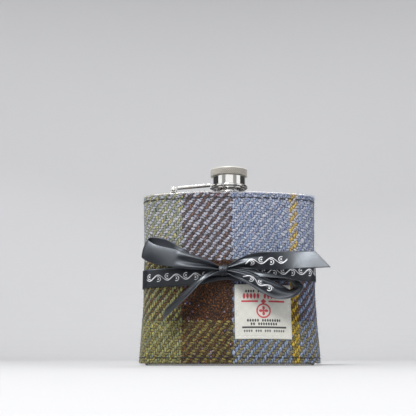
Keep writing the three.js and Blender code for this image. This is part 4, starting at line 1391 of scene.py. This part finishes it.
# ---------------------------------------------------------------- ribbon

KNOT_CENTRE = (KNOT_LOW + KNOT_HIGH) / 2
KNOT_HALF = (KNOT_HIGH - KNOT_LOW) / 2 * np.array([0.92, 1.0, 0.84])
# Each station: x, then y and z out from the knot's middle, then the ribbon's edge direction with
# its length as the share of the full half width.
RIBBON_RUNS = {
    "loop_left": [
        (-6.3, -1.1, 1.0, .04, 0, .25), (-13, -2.6, 2.7, .12, .02, .53), (-21, -4, 4.1, .18, .12, .8),
        (-31.5, -5, 6.3, .24, .14, .95), (-41, -4.6, 8.4, .22, .02, .98), (-46.3, -2.2, 11.7, .31, 0, .96),
        (-43.8, .4, 13.4, .31, .06, .96), (-36, 1.2, 12.4, .12, .04, .98), (-27, 1.2, 8.3, -.12, .02, .92),
        (-18, .9, 4.2, -.06, .02, .55), (-6.5, .3, 1.4, 0, 0, .25)],
    "loop_right": [
        (-1.5, -1.2, -.5, .06, 0, .25), (8, -3, -3.2, .25, .1, .6), (15.2, -3.4, -6.9, .3, .2, .66),
        (19.6, -3.2, -9.1, .32, .28, .76), (25, -2.2, -11.2, .26, .36, .80), (30, -.8, -12.3, .02, .62, .62),
        (34.2, .8, -11.7, -.34, .8, .36), (36.8, 1.8, -9.2, -.5, .8, .02), (35.6, 2.2, -6.6, -.3, .9, -.12),
        (32.2, 1.8, -4.6, -.06, .96, .02), (26.4, .9, -3.3, 0, .9, .1), (20, .3, -2.4, 0, .7, .14),
        (10, .2, -1.3, 0, .42, .2), (-1.3, 0, -.6, .04, .1, .2)],
    "tail_right": [
        (-1.5, -.4, 1.3, 0, 0, .24), (7.9, -.3, 4.2, -.06, -.2, .68), (16, 0, 5.2, 0, -.2, .92),
        (27, -.4, 5.4, 0, -.04, .98), (38, -1, 5.7, -.14, .34, .94), (45, -1.7, 5.8, -.42, .37, .92),
        (50, -2.4, 5.9, -.75, .37, .9)],
    "tail_left": [
        (-6.3, -.6, -.8, -.08, .14, .2), (-14.5, -2.2, -4.2, -.14, .5, .22),
        (-24.5, -2, -13.4, -.23, .7, .28), (-33.2, .6, -21.4, -.22, .72, .3),
        (-35.8, .8, -23.8, .06, .7, .56)],
}
RIBBON_STEPS = {"loop_left": 150, "loop_right": 130, "tail_right": 80, "tail_left": 60}
RIBBON_CROWNS = {"loop_left": -0.5, "loop_right": 0.25, "tail_right": 0.25, "tail_left": 0.2}
PRINTED_SPANS = {
    "band": [(14.0, 52.0), (-48.0, -14.0)], "loop_left": [], "loop_right": [(9.0, 26.5)],
    "tail_right": [(10.0, 33.0)], "tail_left": []}


def ribbon_strip(name, run, settings, across=25):
    """A ribbon along its stations, gathered into soft pleats where its edge is shorter than it is.

    At each step the middle line is the stations' cubic. Across it, w runs from -1 to 1 along the
    edge direction, and the cloth stands off by a sine of w whose height keeps the length across
    near the full width, plus a slight crown.
    """
    value, slope = catmull(RIBBON_RUNS[run], RIBBON_STEPS[run])
    middle = np.column_stack([value[:, 0], value[:, 1] + KNOT_CENTRE[1], value[:, 2] + KNOT_CENTRE[2]])
    half = value[:, 3:] * settings.width / 2
    normal = np.cross(slope[:, :3], half)
    normal /= np.linalg.norm(normal, axis=1, keepdims=True)
    share = np.clip(np.linalg.norm(value[:, 3:], axis=1) / 0.97, 0.15, 1.0)
    folds = 1.5
    if run == "tail_left":
        share = np.maximum(share, 1.0 - 0.8 * np.exp(-np.arange(len(share)) / 7.0))
    rise = settings.width * np.sqrt(2 * (1 - share ** 2)) / (2 * math.pi * folds) * 0.8
    w = np.linspace(-1, 1, across)
    place = np.linspace(0, 1, len(share))[:, None]
    pleat = np.sin(np.pi * folds * (w + 0.25 * np.sin(5 * place)) + 0.8)
    crown = RIBBON_CROWNS[run] * (1 - w ** 2) * np.sin(np.pi * place)
    ripple = 0.10 * np.sin(9 * place + 2.0 * w) * np.sin(np.pi * place)
    off = rise[:, None] * pleat + crown + ripple
    points = middle[:, None] + half[:, None] * w[:, None] + normal[:, None] * off[..., None]
    along = np.concatenate([[0.0], np.cumsum(np.linalg.norm(np.diff(middle, axis=0), axis=1))])
    uv = np.stack(np.broadcast_arrays(along[:, None], w * settings.width / 2), axis=2)
    piece = grid_mesh(name, points, uv=uv)
    modifier(piece, "SOLIDIFY", thickness=settings.thickness * MM, offset=0.0)
    return piece, float(along[-1])


def band_path(samples, offset):
    """The plan at an offset, but drawn straight across the hollow back."""
    point, _ = plan(samples, np.full_like(samples, offset), CLOTH_REFERENCE)
    point = point.copy()
    for side in (-1, 1):
        mine = np.flatnonzero(samples * side > 0)
        highest = mine[np.argmax(point[mine, 1])]
        behind = mine[np.abs(samples[mine]) >= abs(samples[highest])]
        point[behind, 1] = point[highest, 1]
    return point


def ribbon_band(name, settings):
    """The ribbon's turn round the flask, level with the waist and gathered under the knot."""
    half = half_girth(CLOTH_REFERENCE)
    samples = np.linspace(-half, half, 360, endpoint=False)
    point = band_path(samples, 1.87)
    gather = np.exp(-((samples - KNOT_CENTRE[0]) / 9.0) ** 2)
    w = np.linspace(-1, 1, 15)[:, None]
    reach = settings.width / 2 * (1 - 0.36 * gather)
    middle = 49.4 + 0.046 * point[:, 0] + 0.25 * np.sin(samples * 0.09)
    z = middle + w * reach
    normal = np.gradient(point, axis=0)
    normal = np.stack([normal[:, 1], -normal[:, 0]], axis=1)
    normal /= np.linalg.norm(normal, axis=1, keepdims=True)
    off = gather * 0.28 * np.sin(2.6 * np.pi * w) + 0.02 * np.sin(samples * 0.4 + 2 * w)
    plan_point = point + normal * off[..., None]
    points = np.concatenate([plan_point, z[..., None]], axis=2)
    uv = np.stack(np.broadcast_arrays(samples, w * settings.width / 2), axis=2)
    columns = np.concatenate([points, points[:, :1]], axis=1)
    uv = np.concatenate([uv, uv[:, :1] + [[[2 * half, 0]]]], axis=1)
    piece = weld(grid_mesh(name, columns, uv=uv))
    modifier(piece, "SOLIDIFY", thickness=settings.thickness * MM, offset=0.0)
    return piece, 2 * half


def ribbon_knot(name, settings):
    """The knot: a squat barrel of ribbon wound over the bow, pulled into folds.

    A ring stands at each place w across the knot. Its size is a rounded square curve of w, times
    ridges that run round it and slant a little, and it is flattest at the back.
    """
    w = np.linspace(-1, 1, 57)[:, None]
    turn = np.linspace(0, 2 * np.pi, 72, endpoint=False)
    size = (1 - np.abs(w) ** 3.2) ** 0.45
    slant = w + 0.16 * np.cos(turn) + 0.05 * np.sin(2 * turn)
    ridges = 1 + (0.10 * np.cos(9.0 * slant) + 0.05 * np.cos(21.0 * slant + 1.0)) * (1 - w ** 2) - 0.06
    squash = 1 - 0.20 * np.cos(turn) ** 2 * w ** 2
    x = KNOT_CENTRE[0] + KNOT_HALF[0] * w + 0.5 * np.sin(turn) * (1 - w ** 2)
    y = KNOT_CENTRE[1] - KNOT_HALF[1] * size * ridges * np.cos(turn) * squash
    z = KNOT_CENTRE[2] + KNOT_HALF[2] * size * ridges * np.sin(turn) * 0.93
    points = np.stack(np.broadcast_arrays(x, y, z), axis=2)
    uv = np.stack(np.broadcast_arrays(turn * 3.2, w * settings.width / 2 * 0.9), axis=2)
    uv = np.concatenate([uv, uv[:, :1] + [[[2 * math.pi * 3.2, 0]]]], axis=1)
    return weld(grid_mesh(name, points, uv=uv, wrap_u=True))


class FLASK_OT_ribbon(bpy.types.Operator):
    """Tie the satin ribbon: its turn round the flask, the knot, two loops and two tails"""

    bl_idname = "flask.ribbon"
    bl_label = "Ribbon bow"

    def execute(self, context):
        settings = context.scene.flask_ribbon
        band, length = ribbon_band("ribbon_round", settings)
        pieces = {"band": (band, length, "ribbon_band")}
        for run in RIBBON_RUNS:
            strip, length = ribbon_strip("bow_" + run, run, settings)
            pieces[run] = (strip, length, "ribbon_" + run)
        for run, (piece, length, node) in pieces.items():
            satin = satin_material("satin_" + run, settings, PRINTED_SPANS[run])
            finish_piece(piece, "flask", satin, "satin_ribbon", node)
        knot = ribbon_knot("bow_knot", settings)
        finish_piece(knot, "flask", satin_material("satin_knot", settings, []), "satin_ribbon", "ribbon_knot")
        return {"FINISHED"}


# ---------------------------------------------------------------- studio

CAMERA_PLACE = (-0.01206, -0.44366, 0.004)
CAMERA_PITCH = 0.1870
CAMERA_LENS = 68.68
FLOOR_RADIUS = 1.5


def studio_floor():
    """A pale floor that sweeps up into a rim all round, as a shallow bowl open to the lights."""
    r = np.concatenate([np.linspace(0.0, 0.9, 24), np.linspace(0.93, FLOOR_RADIUS, 40)]) * 1000
    rise = 1000 * 1.3 * ease((r / 1000 - 0.9) / 1.2) ** 1.2 * 2.0
    profile = np.column_stack([r, rise])
    floor = turned("studio_floor", profile, 128)
    made, n = material("studio_floor")
    place = n.add("ShaderNodeTexCoord").outputs["Object"]
    tone = n.mix(n.math("MULTIPLY", n.noise(place, 6.0, 3.0), 0.10), (0.64, 0.64, 0.65), (0.59, 0.59, 0.60))
    n.surface(n.add("ShaderNodeBsdfPrincipled", {
        "Base Color": tone, "Roughness": 0.85, "Specular IOR Level": 0.2}))
    floor.data.materials.append(made)
    floor.visible_glossy = False


def lamp(name, place, aim, size, power, colour=(1.0, 1.0, 1.0)):
    """A soft rectangular lamp at a place, turned to a point."""
    data = bpy.data.lights.new(name, "AREA")
    data.shape, data.size, data.size_y = "RECTANGLE", size[0], size[1]
    data.energy, data.color = power, colour
    made = bpy.data.objects.new(name, data)
    bpy.context.scene.collection.objects.link(made)
    made.location = place
    towards = np.array(aim) - np.array(place)
    yaw = math.atan2(-towards[0], towards[1])
    pitch = math.atan2(towards[2], math.hypot(towards[0], towards[1]))
    made.rotation_euler = (math.pi / 2 + pitch, 0.0, yaw)
    return made


def studio_world(scene):
    """Surroundings: pale to the eye, and to polished metal a ring of bright and dark screens.

    The screens go by the angle from straight ahead of the flask, and fade into a pale floor below
    and a grey ceiling above.
    """
    world = bpy.data.worlds.new("studio")
    scene.world = world
    n = Nodes(world)
    ray = n.add("ShaderNodeLightPath")
    way = n.add("ShaderNodeSeparateXYZ", {0: n.add("ShaderNodeTexCoord").outputs["Generated"]})
    x, y, z = way.outputs
    away = n.math("ARCTAN2", n.math("ABSOLUTE", x), n.math("MULTIPLY", y, -1.0))
    share = n.math("DIVIDE", away, math.pi)
    screens = n.steps(share, [
        (0.0, (1.0, 1.0, 1.0)), (0.145, (0.33, 0.33, 0.335)), (0.29, (1.0, 1.0, 1.0)),
        (0.46, (0.05, 0.05, 0.052)), (0.80, (0.42, 0.42, 0.43))])
    above = n.band(z, 0.09, 0.19)
    low = n.mix(n.band(z, -0.56, -0.46), (0.24, 0.24, 0.24), (0.07, 0.07, 0.075))
    ground = n.mix(above, low, screens)
    up = n.band(z, 0.55, 0.8)
    room = n.mix(up, ground, (0.70, 0.70, 0.71))
    even = n.add("ShaderNodeBackground", {"Color": (0.93, 0.93, 0.935, 1.0), "Strength": 1.0})
    seen = n.add("ShaderNodeBackground", {"Color": room, "Strength": 1.15})
    soft = n.add("ShaderNodeBackground", {"Color": (0.9, 0.92, 0.95, 1.0), "Strength": 0.16})
    glossy = n.add("ShaderNodeMixShader", {
        0: ray.outputs["Is Glossy Ray"], 1: soft.outputs[0], 2: seen.outputs[0]})
    final = n.add("ShaderNodeMixShader", {
        0: ray.outputs["Is Camera Ray"], 1: glossy.outputs[0], 2: even.outputs[0]})
    out = n.add("ShaderNodeOutputWorld")
    n.tree.links.new(final.outputs[0], out.inputs["Surface"])


class FLASK_OT_studio(bpy.types.Operator):
    """Set up the floor, the lamps and the camera"""

    bl_idname = "flask.studio"
    bl_label = "Studio"

    def execute(self, context):
        studio_floor()
        studio_world(context.scene)
        aim = (0.0, 0.0, 0.05)
        lamp("key", (-0.30, -0.70, 0.90), aim, (0.5, 0.4), 13.2)
        fill = lamp("fill", (0.75, -0.60, 0.40), aim, (0.6, 0.6), 2.2)
        fill.visible_glossy = False
        lamp("rear", (0.1, 0.7, 0.8), aim, (0.8, 0.4), 3.0)
        lamp("backdrop", (0.0, 0.55, 0.9), (0.0, 1.4, 0.35), (1.2, 0.5), 3.5)
        lens = bpy.data.cameras.new("camera")
        lens.lens, lens.sensor_width = CAMERA_LENS, 36.0
        lens.clip_start, lens.clip_end = 0.01, 20.0
        camera = bpy.data.objects.new("camera", lens)
        context.scene.collection.objects.link(camera)
        camera.location = CAMERA_PLACE
        camera.rotation_euler = (math.pi / 2 + CAMERA_PITCH, 0.0, 0.0)
        context.scene.camera = camera
        context.scene.view_settings.view_transform = "Standard"
        return {"FINISHED"}


# ---------------------------------------------------------------- panel, registering and running

OPERATORS = (
    FLASK_OT_body, FLASK_OT_hinge, FLASK_OT_cap, FLASK_OT_sleeve, FLASK_OT_stitching, FLASK_OT_label,
    FLASK_OT_ribbon, FLASK_OT_studio)
SETTINGS = {
    "flask_tweed": FLASK_PG_tweed, "flask_ribbon": FLASK_PG_ribbon, "flask_steel": FLASK_PG_steel,
    "flask_label": FLASK_PG_label}


class FLASK_PT_panel(bpy.types.Panel):
    """Sizes, colours and the operators"""

    bl_idname = "FLASK_PT_panel"
    bl_label = "Hip flask"
    bl_space_type = "VIEW_3D"
    bl_region_type = "UI"
    bl_category = "Hip flask"

    def draw(self, context):
        for name, group in SETTINGS.items():
            box = self.layout.box()
            for key in group.__annotations__:
                box.prop(getattr(context.scene, name), key)
        for operator in OPERATORS:
            self.layout.operator(operator.bl_idname)


CLASSES = (*SETTINGS.values(), *OPERATORS, FLASK_PT_panel)


def register():
    """Registers the classes and hangs the settings on the scene."""
    for made in CLASSES:
        bpy.utils.register_class(made)
    for name, group in SETTINGS.items():
        setattr(bpy.types.Scene, name, bpy.props.PointerProperty(type=group))


def unregister():
    """Takes away what register added."""
    for name in SETTINGS:
        delattr(bpy.types.Scene, name)
    for made in reversed(CLASSES):
        bpy.utils.unregister_class(made)


def main():
    """Makes every piece in order."""
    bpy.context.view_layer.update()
    register()
    for operator in OPERATORS:
        group, name = operator.bl_idname.split(".")
        getattr(getattr(bpy.ops, group), name)()
    bpy.context.view_layer.update()


if __name__ == "__main__":
    main()
